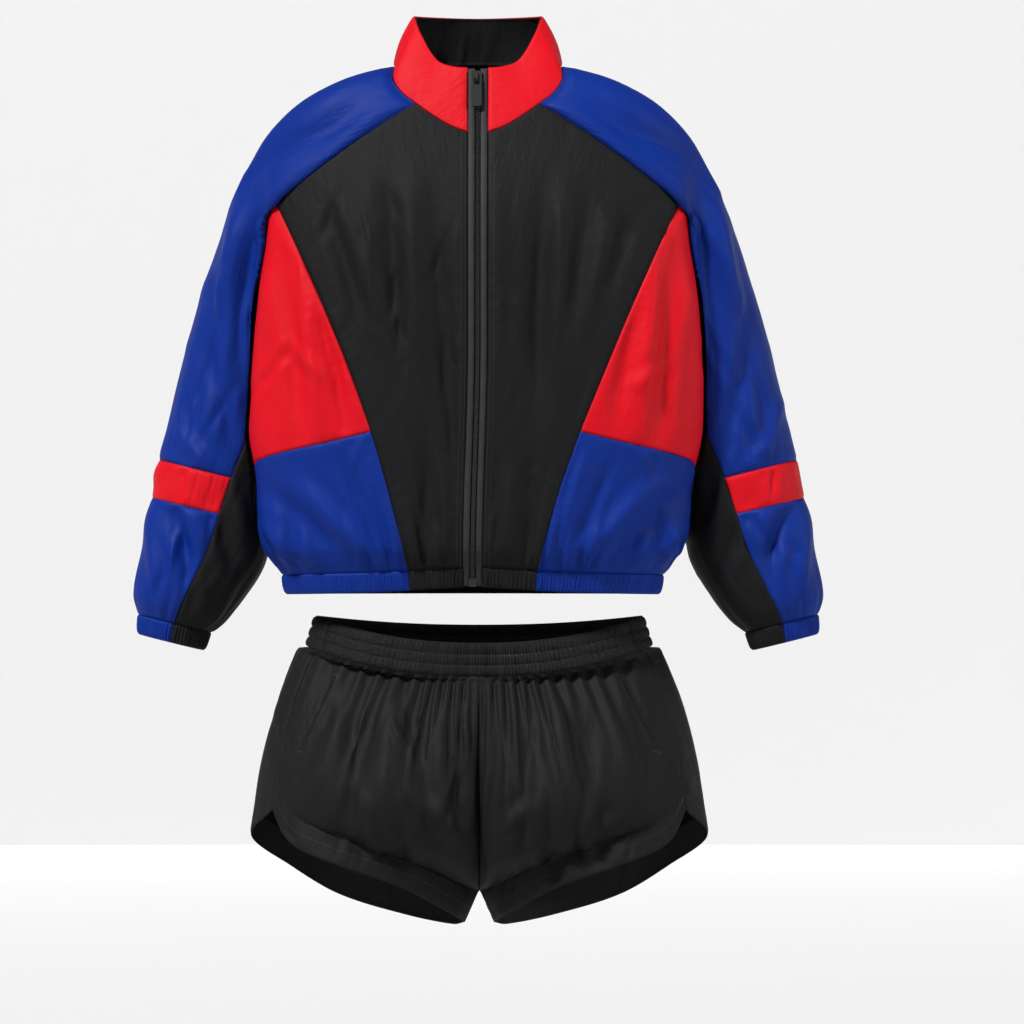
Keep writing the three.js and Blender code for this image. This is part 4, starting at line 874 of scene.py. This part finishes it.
    def sheets(self) -> list[Sheet]:
        """Lists the sleeve's panels and cuff."""
        word = self.seams.word
        grid = self.grid()
        wrapped = np.concatenate([grid[:, -2:-1], grid, grid[:, 1:2]], axis=1)
        normals = grid_normals(wrapped, self.side)[:, 1:-1]
        seam = TRUNK.normal(*self.loop().T)
        for row in range(3):
            normals[row] = unit(normals[row] * row / 3 + seam * (1 - row / 3))
        top = SHOULDER_ROWS + UPPER_ROWS
        bottom, last = top + BAND_ROWS, len(grid) - 1
        main = np.arange(-self.main, self.main + 1) % self.cols
        gore = np.arange(self.main, self.main + 2 * GORE_COLS + 1) % self.cols
        wrist = (Pucker(Edge.TOP, 11, 1.4, 7), Pucker(Edge.TOP, 19, 3.0, 14), Pucker(Edge.TOP, 37, 3.0, 30))
        table = (
            ("upper", Cloth.BLUE, 0, top, main, PLAIN_SEAMS),
            ("band", Cloth.RED, top, bottom, main, PLAIN_SEAMS),
            ("lower", Cloth.BLUE, bottom, last, main, wrist), ("gore", Cloth.BLACK, 0, last, gore, wrist),
        )
        made = []
        for order, (part, cloth, first, end, cols, puckers) in enumerate(table):
            name = f"sleeve_{part}_{word}"
            rows = slice(first, end + 1)
            made.append(Sheet(name, cloth, grid[rows][:, cols], normals[rows][:, cols], puckers,
                              23 + order + self.side))
        for part, cloth, start in (("outer", Cloth.BLUE, -math.pi / 2), ("inner", Cloth.BLACK, math.pi / 2)):
            made.append(self.cuff(part, cloth, start))
        return made

    def cuff(self, part: str, cloth: Cloth, start: float) -> Sheet:
        """Makes half of the elastic cuff.

        Args:
            part: Name of the half.
            cloth: Its colour.
            start: Angle round the sleeve where it starts.

        Returns:
            The sheet.
        """
        v, t = ALLOWANCE_ROWS[:, None], steps(CUFF_RIBS * RIB_COLS)[None, :]
        angle = start + math.pi * t + 0 * v
        z = CUFF_END_Z + (SLEEVE_END_Z - CUFF_END_Z) * v + 0 * t
        grid = self.section(z, angle, rib_height(t * CUFF_RIBS, v, CUFF_RIB))
        normals = unit(self.section(z, angle, 1.0) - self.section(z, angle, 0.0))
        return band(f"cuff_{part}_{self.seams.word}", cloth, grid, normals)


class Collar:
    """Stand collar, with its outer and inner cloth."""

    def __init__(self, seams: Seams) -> None:
        """Keeps the seams and the table of the top edge."""
        self.seams = seams
        (self.height,) = columns(COLLAR_TOP, 2)
        self.start = float(TRUNK.angle_at(ZIP_HALF, NECK_FRONT_Z))
        self.top_start = math.asin(ZIP_HALF / COLLAR_FRONT)

    def point(self, angle: np.ndarray, v: np.ndarray) -> np.ndarray:
        """Points of the collar.

        Args:
            angle: Angle round the neck, from the front to twice pi.
            v: Place from the neck seam, 0, to the top edge, 1.

        Returns:
            The points.
        """
        side = np.where(angle > math.pi, -1, 1)
        folded = np.where(angle > math.pi, 2 * math.pi - angle, angle)
        pairs = neck_pairs(folded)
        base = TRUNK.point(pairs[..., 0], pairs[..., 1])
        share = (folded - self.start) / (math.pi - self.start)
        top_angle = self.top_start + share * (math.pi - self.top_start)
        radius = radius_of(top_angle, COLLAR_HALF, COLLAR_FRONT, COLLAR_BACK)
        top = np.stack([radius * np.sin(top_angle), -radius * np.cos(top_angle),
                        self.height(np.degrees(top_angle))], -1)
        out = COLLAR_BULGE * np.sin(math.pi * v) * np.abs(np.sin(folded))
        point = base + (top - base) * v[..., None] + plan_way(folded) * out[..., None]
        point[..., 0] *= side
        return point

    def sheets(self) -> list[Sheet]:
        """Lists the two layers."""
        angle = self.start + (2 * math.pi - 2 * self.start) * steps(COLLAR_COLS)[None, :]

        def layer(v: np.ndarray) -> tuple[np.ndarray, np.ndarray]:
            """Points and normals of one layer."""
            grid = self.point(angle + 0 * v, v + 0 * angle)
            return grid, grid_normals(grid, 1.0)

        outer, normals = layer(steps(COLLAR_ROWS)[:, None])
        puckers = (Pucker(Edge.BOTTOM, 12, 0.5, 7), Pucker(Edge.TOP, 11, 0.45, 6),
                   Pucker(Edge.LEFT, 12, 0.6, 8), Pucker(Edge.RIGHT, 12, 0.6, 8))
        # The lining starts a little below the neck seam, so that no light shows through it
        inner, inner_normals = layer(-LINING_DROP + (1 + LINING_DROP) * steps(LINING_ROWS)[:, None])
        soft = (Pucker(Edge.BOTTOM, 38, 1.6, 16), Pucker(Edge.TOP, 24, 0.8, 9))
        return [
            Sheet("collar_outer", Cloth.RED, outer, normals, puckers, 41),
            Sheet("collar_inner", Cloth.BLACK, inner - inner_normals * LINING_GAP, inner_normals, soft, 43,
                  creased=False),
        ]


SHORTS_X, WAIST_Y, WAIST_POWER = 1.5, -6.0, 2.2
WAIST_RIBS = {"front": 78, "back": 104}
GATHERS, GATHER_HEIGHT = 12, 2.8
SHORTS_SIDE = math.radians(76)
RISE_ROWS, INSEAM_ROWS, SHORTS_COLS = 78, 14, 88
CROTCH, INSEAM_FOOT = (0.0, 6.0, -908.0), (15.0, 4.0, -942.0)
WAIST_PLAN = ((190.0, 82.0), (180.0, 74.0))
WAIST_HEIGHTS = {"front": (-670.0, -634.0), "side": (-638.0, -605.0), "back": (-652.0, -616.0)}
RISES = {
    # z, y
    "front": ((-670, -86), (-720, -98), (-780, -104), (-840, -96), (-880, -62), (-900, -26), (-908, 6)),
    "back": ((-652, 74), (-720, 98), (-780, 108), (-840, 102), (-880, 74), (-900, 38), (-908, 6)),
}
# z, x, y
SIDE_RISE = ((-640, 181, -25), (-690, 202, -40), (-750, 217, -52), (-816, 227, -60))
HEMS = {
    # t, x, y, z
    "front": ((0, 15, 4, -942), (0.1, 30, -34, -932), (0.35, 84, -92, -901), (0.62, 150, -112, -877),
              (0.86, 197, -96, -858), (0.95, 215, -78, -842), (1, 227, -60, -816)),
    "back": ((0, 15, 4, -942), (0.12, 30, 44, -946), (0.34, 84, 92, -937), (0.6, 158, 96, -914),
             (0.78, 212, 56, -880), (0.9, 252, -2, -846), (1, 227, -60, -816)),
}
SWELL = {"front": 9.0, "back": 12.0}


def waist_point(angle: np.ndarray, v: np.ndarray, out: float | np.ndarray = 0.0) -> np.ndarray:
    """Points of the shorts' waistband.

    Args:
        angle: Angle round from the front.
        v: Place from its lower seam, 0, to its top, 1.
        out: Distance outwards.

    Returns:
        The points.
    """
    angle, v = np.broadcast_arrays(np.asarray(angle, float), np.asarray(v, float))
    half = WAIST_PLAN[0][0] + (WAIST_PLAN[1][0] - WAIST_PLAN[0][0]) * v
    deep = WAIST_PLAN[0][1] + (WAIST_PLAN[1][1] - WAIST_PLAN[0][1]) * v
    heights = {key: low + (high - low) * v for key, (low, high) in WAIST_HEIGHTS.items()}
    end = np.where(np.cos(angle) > 0, heights["front"], heights["back"])
    radius = radius_of(angle, half, deep, deep) + out
    share = np.clip(np.abs(radius * np.sin(angle)) / half, 0, 1) ** WAIST_POWER
    return np.stack([SHORTS_X + radius * np.sin(angle), WAIST_Y - radius * np.cos(angle),
                     end + (heights["side"] - end) * share], -1)


class Shorts:
    """Four panels and a waistband."""

    def panel(self, side: int, where: str) -> Sheet:
        """Makes one leg's front or back panel.

        Args:
            side: 1 for the right of the view, -1 for the left.
            where: front or back.

        Returns:
            The sheet.
        """
        front = where == "front"
        start = 0.0 if front else math.pi
        seam = side * SHORTS_SIDE
        end = seam if front or side > 0 else 2 * math.pi + seam
        t = steps(SHORTS_COLS)
        waist = waist_point(start + (end - start) * t, np.zeros_like(t))
        (rise,) = columns(RISES[where], 2)
        t = steps(RISE_ROWS)
        z = waist[0, 2] + (CROTCH[2] - waist[0, 2]) * t**0.9
        middle = np.stack([np.full_like(z, SHORTS_X), rise(z), z], -1)
        middle[0] = waist[0]
        crotch = np.array([SHORTS_X, CROTCH[1], CROTCH[2]])
        middle[-1] = crotch
        foot = np.array([SHORTS_X + side * INSEAM_FOOT[0], INSEAM_FOOT[1], INSEAM_FOOT[2]])
        left = np.vstack([middle, mix_pairs(crotch, foot, steps(INSEAM_ROWS)[1:])])[::-1]
        hem_x, hem_y, hem_z = columns(HEMS[where], 4)
        t = steps(SHORTS_COLS)
        bottom = np.stack([SHORTS_X + side * hem_x(t), hem_y(t), hem_z(t)], -1)
        outer_x, outer_y = columns(SIDE_RISE, 3)
        z = bottom[-1, 2] + (waist[-1, 2] - bottom[-1, 2]) * steps(RISE_ROWS + INSEAM_ROWS)
        right = np.stack([SHORTS_X + side * outer_x(z), outer_y(z), z], -1)
        right[0], right[-1] = bottom[-1], waist[-1]
        flat = between(bottom, waist, left, right)
        sign = side * (1 if front else -1)
        u, v = steps(SHORTS_COLS)[None, :], steps(RISE_ROWS + INSEAM_ROWS)[:, None]
        turn = 2 * np.pi * u * GATHERS + 0.9 * np.sin(7 * u + side) + 0.6 * np.sin(17 * u)
        gathers = np.sin(turn) * np.sin(np.pi * u) ** 0.3
        long = 0.65 + 0.35 * np.sin(23 * u + side * 2 + (0 if front else 1))
        fall = ease((v - 1 + 0.75 * long) / (0.6 * long)) * ease((1 - v) / 0.03)
        out = SWELL[where] * 16 * u * (1 - u) * v * (1 - v) + GATHER_HEIGHT * gathers * fall
        grid = flat + grid_normals(flat, sign) * out[..., None]
        name = f"shorts_{where}_{'right' if side > 0 else 'left'}"
        puckers = (Pucker(Edge.TOP, 11, 1.4, 12), Pucker(Edge.BOTTOM, 15, 0.5, 9), *SEWN)
        normals = grid_normals(grid, sign)
        # Panels that meet at a seam take the same normals there
        middle_part = normals[:, 0].copy()
        middle_part[:, 0] = 0
        middle_part[:INSEAM_ROWS] = (-side, 0, -0.4)
        out_part = unit((grid[:, -1] - (SHORTS_X, WAIST_Y, 0)) * (1, 1, 0))
        for share, part in ((u, unit(middle_part)), (1 - u, out_part)):
            near = ease(1 - share * 9)[..., None]
            normals = unit(normals * (1 - near) + part[:, None] * near)
        return Sheet(name, Cloth.BLACK, grid, normals, puckers, 51 + side)

    def waistband(self, where: str, start: float, end: float) -> Sheet:
        """Makes half of the gathered waistband."""
        ribs = WAIST_RIBS[where]
        v, t = np.append(steps(WAIST_ROWS), (1.02,))[:, None], steps(ribs * WAIST_RIB_COLS)[None, :]
        angle = start + (end - start) * t + 0 * v
        grid = waist_point(angle, v + 0 * t, rib_height(t * ribs, v, WAIST_RIB, channels=3))
        return band(f"waistband_{where}", Cloth.BLACK, grid, plan_way(angle))

    def sheets(self) -> list[Sheet]:
        """Lists the shorts' pieces."""
        made = [self.panel(side, where) for side in (1, -1) for where in ("front", "back")]
        made.append(self.waistband("front", -SHORTS_SIDE, SHORTS_SIDE))
        made.append(self.waistband("back", SHORTS_SIDE, 2 * math.pi - SHORTS_SIDE))
        return made


TAPE_X = (3.1, 10.5)
ZIP_LOW_Z, ZIP_TOP_Z = -571.5, -6.0
COLLAR_FRONT_TOP = -5.0


def zip_face(x: float, z: np.ndarray, sunk: float) -> np.ndarray:
    """Points of the zip's face.

    Args:
        x: Distance from the zip line.
        z: Heights.
        sunk: Depth behind the face of the fronts.

    Returns:
        The points.
    """
    z = np.asarray(z, float)
    x = np.full_like(z, x)
    on_body = TRUNK.point(TRUNK.angle_at(x, np.minimum(z, NECK_FRONT_Z)), np.minimum(z, NECK_FRONT_Z))
    share = np.clip((z - NECK_FRONT_Z) / (COLLAR_FRONT_TOP - NECK_FRONT_Z), 0, 2)
    y = on_body[..., 1] + (-COLLAR_FRONT - on_body[..., 1]) * share + sunk
    flat_x = np.where(z > NECK_FRONT_Z, x, on_body[..., 0])
    return np.stack([flat_x, y, z], -1)


class Zip:
    """Tapes and the moulded coil of the front zip."""

    pitch: float = 2.4
    tooth: tuple[float, float, float] = (4.6, 1.7, 1.9)
    bevel: float = 0.35

    def sheets(self) -> list[Sheet]:
        """Lists the two tapes."""
        made = []
        z = np.linspace(ZIP_LOW_Z, ZIP_TOP_Z, 260)
        for word, low, high in (("right", TAPE_X[0], TAPE_X[1]), ("left", -TAPE_X[1], -TAPE_X[0])):
            grid = np.stack([zip_face(low + (high - low) * k / 8, z, 1.0) for k in range(9)], axis=1)
            wave = 0.35 * np.sin(z / 5.3)[:, None] * np.sin(np.arange(9) / 8 * np.pi)[None, :]
            normals = np.zeros_like(grid)
            normals[..., 1] = -1
            made.append(Sheet(f"zip_tape_{word}", Cloth.BLACK, grid + normals * wave[..., None], normals,
                              creased=False, thickness=TAPE_SHELL, seam_gap=0.0))
        return made

    def coil(self) -> bpy.types.Object:
        """Makes the row of interlocked teeth.

        Returns:
            The joined mesh.
        """
        bm = bmesh.new()
        count = int((ZIP_TOP_Z - ZIP_LOW_Z - 6) / self.pitch)
        for k in range(count):
            side = 1 if k % 2 else -1
            z = ZIP_LOW_Z + 5 + self.pitch * k
            foot = zip_face(0.0, np.array([z]), 0.1)[0]
            made = bmesh.ops.create_cube(bm, size=1.0)
            size = Matrix.Diagonal((*(edge * MM for edge in self.tooth), 1.0))
            shift = Matrix.Translation(Vector((foot[0] + side * 0.15, foot[1] + 0.9, foot[2])) * MM)
            bmesh.ops.transform(bm, matrix=shift @ size, verts=made["verts"])
        bmesh.ops.bevel(bm, geom=bm.edges[:], offset=self.bevel * MM, segments=1, affect="EDGES")
        return new_object("zip_teeth", bm, smooth=False)


@dataclass(frozen=True)
class Row:
    """A row of stitches that runs beside one edge of a sheet."""

    sheet: str
    edge: Edge
    inset: float


@dataclass(frozen=True)
class Line:
    """A row of stitches between two points of the front view, in millimetres."""

    sheet: str
    x1: float
    z1: float
    x2: float
    z2: float


class Stitcher:
    """Rows of sewing stitches, laid on the draped sheets."""

    pitch: float = 3.1
    long: float = 2.2
    thick: float = 0.26

    def __init__(self, sheets: list[Sheet]) -> None:
        """Keeps the sheets by name."""
        self.sheets = {sheet.node: sheet for sheet in sheets}

    @staticmethod
    def line(sheet: Sheet, edge: Edge, inset: float) -> tuple[np.ndarray, np.ndarray]:
        """Points and normals of a line beside an edge of a sheet."""
        grid, normals = oriented(sheet.points, edge), oriented(sheet.normals, edge)
        away = running(grid)
        points, facing = [], []
        for k in range(grid.shape[1]):
            row = min(max(int(np.searchsorted(away[:, k], inset)), 1), len(away) - 1)
            t = np.clip((inset - away[row - 1, k]) / max(away[row, k] - away[row - 1, k], 1e-6), 0, 1)
            points.append(grid[row - 1, k] * (1 - t) + grid[row, k] * t)
            facing.append(normals[row - 1, k])
        return np.array(points), np.array(facing)

    def lay(self, bm: bmesh.types.BMesh, points: np.ndarray, normals: np.ndarray) -> int:
        """Lays stitches along a line.

        Args:
            bm: The mesh that takes them.
            points: Points of the line, in millimetres.
            normals: Outward normals there.

        Returns:
            How many were laid.
        """
        along = running(points)
        count = int((along[-1] - 2) / self.pitch)
        for k in range(count):
            middle = 1 + self.pitch * (k + 0.5)
            ends = [np.array([np.interp(at, along, points[:, a]) for a in range(3)])
                    for at in (middle - self.long / 2, middle + self.long / 2)]
            normal = unit(np.array([np.interp(middle, along, normals[:, a]) for a in range(3)]))
            way = unit(ends[1] - ends[0])
            beside = unit(np.cross(way, normal))
            centre = (ends[0] + ends[1]) / 2 + normal * self.thick * 0.55
            made = bmesh.ops.create_cube(bm, size=1.0)
            basis = Matrix((way * self.long, beside * self.thick * 1.5, normal * self.thick))
            basis = basis.transposed().to_4x4()
            place = Matrix.Translation(Vector(centre) * MM) @ Matrix.Scale(MM, 4) @ basis
            bmesh.ops.transform(bm, matrix=place, verts=made["verts"])
        return count

    def across(self, bm: bmesh.types.BMesh, line: Line) -> int:
        """Lays stitches along a free line of the front view.

        Args:
            bm: The mesh that takes them.
            line: The line and its sheet.

        Returns:
            How many were laid.
        """
        sheet = self.sheets[line.sheet]
        flat = sheet.points.reshape(-1, 3)
        normals = sheet.normals.reshape(-1, 3)
        points, facing = [], []
        for t in steps(40):
            x, z = line.x1 + (line.x2 - line.x1) * t, line.z1 + (line.z2 - line.z1) * t
            away = np.hypot(flat[:, 0] - x, flat[:, 2] - z)
            near = np.argsort(away)[:4]
            weight = 1 / (away[near] + 0.1)
            weight /= weight.sum()
            y = float((flat[near, 1] * weight).sum())
            points.append((x, y, z))
            facing.append(unit((normals[near] * weight[:, None]).sum(0)))
        return self.lay(bm, np.array(points), np.array(facing))

    def build(self, name: str, rows: tuple[Row | Line, ...]) -> bpy.types.Object:
        """Makes one object of many rows.

        Args:
            name: Name of the object.
            rows: The rows that it holds.

        Returns:
            The object.
        """
        bm = bmesh.new()
        total = 0
        for row in rows:
            if isinstance(row, Line):
                total += self.across(bm, row)
                continue
            points, normals = self.line(self.sheets[row.sheet], row.edge, row.inset)
            total += self.lay(bm, points, normals)
        LOG.info("%s: %d stitches", name, total)
        return new_object(name, bm, smooth=False)


@dataclass(frozen=True)
class NylonLook:
    """Crinkled woven nylon of one colour."""

    colour: tuple[float, float, float]
    roughness: float
    crinkle: float

    def material(self, name: str) -> bpy.types.Material:
        """Makes the material.

        Args:
            name: Name of the material.

        Returns:
            The material.
        """
        tree = Tree(name)
        shader = tree.shader
        shader.inputs["Base Color"].default_value = (*self.colour, 1)
        shader.inputs["Roughness"].default_value = self.roughness
        shader.inputs["Specular IOR Level"].default_value = 0.14
        place = tree.node("ShaderNodeUVMap")
        place.uv_map = "cloth"
        below = None
        for scale, detail, rough, long, deep in (
            (46.0, 3.0, 0.55, 0.3, 0.0022 * self.crinkle), (260.0, 3.0, 0.6, 0.45, 0.00055 * self.crinkle),
            (1500.0, 1.0, 0.5, 0.7, 0.00007),
        ):
            stretch = tree.node("ShaderNodeMapping", Scale=(1.0, long, 1.0))
            noise = tree.node("ShaderNodeTexNoise", Scale=scale, Detail=detail, Roughness=rough)
            bump = tree.node("ShaderNodeBump", Strength=1.0, Distance=deep)
            tree.link(place.outputs["UV"], stretch.inputs["Vector"])
            tree.link(stretch.outputs["Vector"], noise.inputs["Vector"])
            tree.link(noise.outputs["Fac"], bump.inputs["Height"])
            if below:
                tree.link(below.outputs["Normal"], bump.inputs["Normal"])
            below = bump
        tree.link(below.outputs["Normal"], shader.inputs["Normal"])
        return tree.material


@dataclass(frozen=True)
class PlainLook:
    """Thread, tape, moulded plastic or painted metal."""

    colour: tuple[float, float, float]
    roughness: float
    metallic: float = 0.0
    grain: float = 400.0

    def material(self, name: str) -> bpy.types.Material:
        """Makes the material.

        Args:
            name: Name of the material.

        Returns:
            The material.
        """
        tree = Tree(name)
        tree.shader.inputs["Base Color"].default_value = (*self.colour, 1)
        tree.shader.inputs["Metallic"].default_value = self.metallic
        tree.shader.inputs["Roughness"].default_value = self.roughness
        place = tree.node("ShaderNodeTexCoord")
        noise = tree.node("ShaderNodeTexNoise", Scale=self.grain, Detail=2.0, Roughness=0.5)
        tree.link(place.outputs["Object"], noise.inputs["Vector"])
        bump = tree.node("ShaderNodeBump", Strength=0.5, Distance=0.0001)
        tree.link(noise.outputs["Fac"], bump.inputs["Height"])
        tree.link(bump.outputs["Normal"], tree.shader.inputs["Normal"])
        return tree.material


class Tree:
    """A material's nodes."""

    def __init__(self, name: str) -> None:
        """Starts a material with its shader and output."""
        self.material = bpy.data.materials.new(name)
        self.material.use_nodes = True
        self.nodes = self.material.node_tree.nodes
        self.nodes.clear()
        self.shader = self.nodes.new("ShaderNodeBsdfPrincipled")
        output = self.nodes.new("ShaderNodeOutputMaterial")
        self.link(self.shader.outputs["BSDF"], output.inputs["Surface"])

    def node(self, kind: str, **values: float) -> bpy.types.Node:
        """Adds a node.

        Args:
            kind: Type of the node.
            **values: Values of its inputs, by name.

        Returns:
            The node.
        """
        made = self.nodes.new(kind)
        for key, value in values.items():
            made.inputs[key].default_value = value
        return made

    def link(self, start: bpy.types.NodeSocket, end: bpy.types.NodeSocket) -> None:
        """Joins two sockets."""
        self.material.node_tree.links.new(start, end)


LOOKS = {
    "black_nylon": NylonLook((0.0055, 0.0057, 0.0064), 0.68, 1.0),
    "red_nylon": NylonLook((0.53, 0.001, 0.008), 0.6, 0.9),
    "blue_nylon": NylonLook((0.0, 0.018, 0.185), 0.6, 0.9),
    "black_thread": PlainLook((0.012, 0.012, 0.012), 0.6),
    "red_thread": PlainLook((0.6, 0.004, 0.008), 0.6),
    "blue_thread": PlainLook((0.001, 0.018, 0.24), 0.6),
    "zip_tape": PlainLook((0.009, 0.009, 0.01), 0.75),
    "zip_plastic": PlainLook((0.012, 0.012, 0.013), 0.35),
    "zip_metal": PlainLook((0.016, 0.016, 0.017), 0.32, 0.4),
    "floor": PlainLook((0.62, 0.62, 0.62), 0.9, 0.0, 5.0),
}

STITCH_ROWS = {
    Cloth.BLACK: (
        *(Row(f"front_{word}", edge, inset)
          for word, _ in SIDES for edge, inset in ((Edge.LEFT, 2.4), (Edge.LEFT, 7.0), (Edge.TOP, 2.2))),
        *(Row(f"waistband_{where}", Edge.BOTTOM, inset)
          for where in ("front", "back") for inset in (12.0, 24.0)),
        *(Line(f"shorts_front_{word}", side * (160 - inset), -668, side * (200 - inset), -752)
          for word, side in SIDES for inset in (3, 8)),
        *(Line(f"shorts_front_{word}", side * (150 + end * 40), -668 - end * 84 + step,
               side * (162 + end * 40), -671 - end * 84 + step)
          for word, side in SIDES for end in (0, 1) for step in (0, 0.9, 1.8)),
        *(Row(f"shorts_{where}_{word}", Edge.BOTTOM, 17.0)
          for where in ("front", "back") for word, _ in SIDES),
    ),
    Cloth.RED: (
        Row("collar_outer", Edge.TOP, 3.0),
        *(Row("collar_outer", edge, 2.4) for edge in (Edge.BOTTOM, Edge.LEFT, Edge.RIGHT)),
        *(Row(f"side_red_{word}", Edge.LEFT, 2.2) for word, _ in SIDES),
        *(Row(f"sleeve_band_{word}", edge, 2.2) for word, _ in SIDES for edge in (Edge.TOP, Edge.BOTTOM)),
    ),
    Cloth.BLUE: (
        *(Row(f"sleeve_upper_{word}", Edge.BOTTOM, 2.2) for word, _ in SIDES),
        *(Row(f"side_blue_{word}", Edge.LEFT, 2.2) for word, _ in SIDES),
    ),
}

CAMERA_AT, CAMERA_LENS, CAMERA_SENSOR, CAMERA_CLIP = (0.0374, -10.0, -0.4906), 319.6, 36, 100
WORLD_STRENGTH = 0.16
# name, direction, spread in degrees, strength
SUNS = (("key_light", (-0.42, -0.5, 0.76), 9, 4.6), ("side_light", (0.9, -0.34, 0.3), 16, 1.5))
FLOOR_Z, WALL_RADIUS, WALL_HIGH = -1.35, 13.5, 4.2


class Studio:
    """Floor, lights, world and camera."""

    def build(self, floor_material: bpy.types.Material) -> None:
        """Makes the whole stage."""
        bm = bmesh.new()
        bmesh.ops.create_grid(bm, x_segments=1, y_segments=1, size=WALL_RADIUS)
        bmesh.ops.translate(bm, vec=(0, 0, FLOOR_Z), verts=bm.verts)
        self.stage("studio_floor", bm, floor_material)
        bm = bmesh.new()
        bmesh.ops.create_cone(bm, cap_ends=False, segments=128, radius1=WALL_RADIUS, radius2=WALL_RADIUS,
                              depth=WALL_HIGH)
        bmesh.ops.translate(bm, vec=(0, 0, FLOOR_Z + WALL_HIGH / 2), verts=bm.verts)
        self.stage("studio_wall", bm, floor_material)
        world = bpy.data.worlds.new("studio")
        world.use_nodes = True
        background = world.node_tree.nodes["Background"]
        background.inputs["Color"].default_value = (1, 1, 1, 1)
        background.inputs["Strength"].default_value = WORLD_STRENGTH
        scene = bpy.context.scene
        scene.world = world
        scene.view_settings.view_transform = "Standard"
        for sun in SUNS:
            self.light(*sun)
        camera = bpy.data.cameras.new("camera")
        camera.lens = CAMERA_LENS
        camera.sensor_width = CAMERA_SENSOR
        camera.clip_end = CAMERA_CLIP
        holder = bpy.data.objects.new("camera", camera)
        holder.location = CAMERA_AT
        holder.rotation_euler = (math.pi / 2, 0, 0)
        bpy.context.collection.objects.link(holder)
        scene.camera = holder

    @staticmethod
    def stage(name: str, bm: bmesh.types.BMesh, material: bpy.types.Material) -> None:
        """Makes a piece of the stage, which isn't part of the object."""
        piece = new_object(name, bm)
        piece.data.materials.append(material)

    @staticmethod
    def light(name: str, place: tuple, spread: float, strength: float) -> None:
        """Adds a distant soft light.

        Args:
            name: Name of the light.
            place: Direction that it comes from.
            spread: Its angle in degrees.
            strength: Its strength.
        """
        data = bpy.data.lights.new(name, "SUN")
        data.angle = math.radians(spread)
        data.energy = strength
        made = bpy.data.objects.new(name, data)
        made.rotation_euler = (-Vector(place)).to_track_quat("-Z", "Y").to_euler()
        bpy.context.collection.objects.link(made)


# Nodes that keep their CAD form, with their material
CAD_FORMS = (("zip_slider", "zip_metal"), ("zip_pull_tab", "zip_metal"), ("zip_bottom_box", "zip_plastic"))


def main() -> None:
    """Builds and dresses every piece."""
    logging.basicConfig(level=logging.INFO, format="%(name)s: %(message)s")
    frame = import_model()
    materials = {name: look.material(name) for name, look in LOOKS.items()}
    right, left = Seams(1), Seams(-1)
    sheets = Body(right, left).sheets()
    sheets += Sleeve(right).sheets() + Sleeve(left).sheets()
    sheets += Collar(right).sheets() + Shorts().sheets()
    tapes = Zip().sheets()
    for sheet in sheets + tapes:
        piece = sheet.build()
        slot = "zip_tape" if sheet in tapes else sheet.cloth.value
        piece.data.materials.append(materials[slot])
        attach(piece, GARMENT)
        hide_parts(sheet.node)
        LOG.info("%s: %d faces", piece.name, len(piece.data.polygons))
    stitcher = Stitcher(sheets)
    for cloth, rows in STITCH_ROWS.items():
        piece = stitcher.build(f"stitches_{cloth.name.lower()}", rows)
        piece.data.materials.append(materials[f"{cloth.name.lower()}_thread"])
        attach(piece, GARMENT)
    teeth = Zip().coil()
    teeth.data.materials.append(materials["zip_plastic"])
    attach(teeth, GARMENT)
    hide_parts("zip_coil")
    for sheet in sheets:
        wide, long, area = sheet.area()
    for name, slot in CAD_FORMS:
        node = frame["nodes"][name]
        node.data.materials.clear()
        node.data.materials.append(materials[slot])
        LOG.info("%s keeps its CAD form", name)
    Studio().build(materials["floor"])
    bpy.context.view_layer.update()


if __name__ == "__main__":
    main()
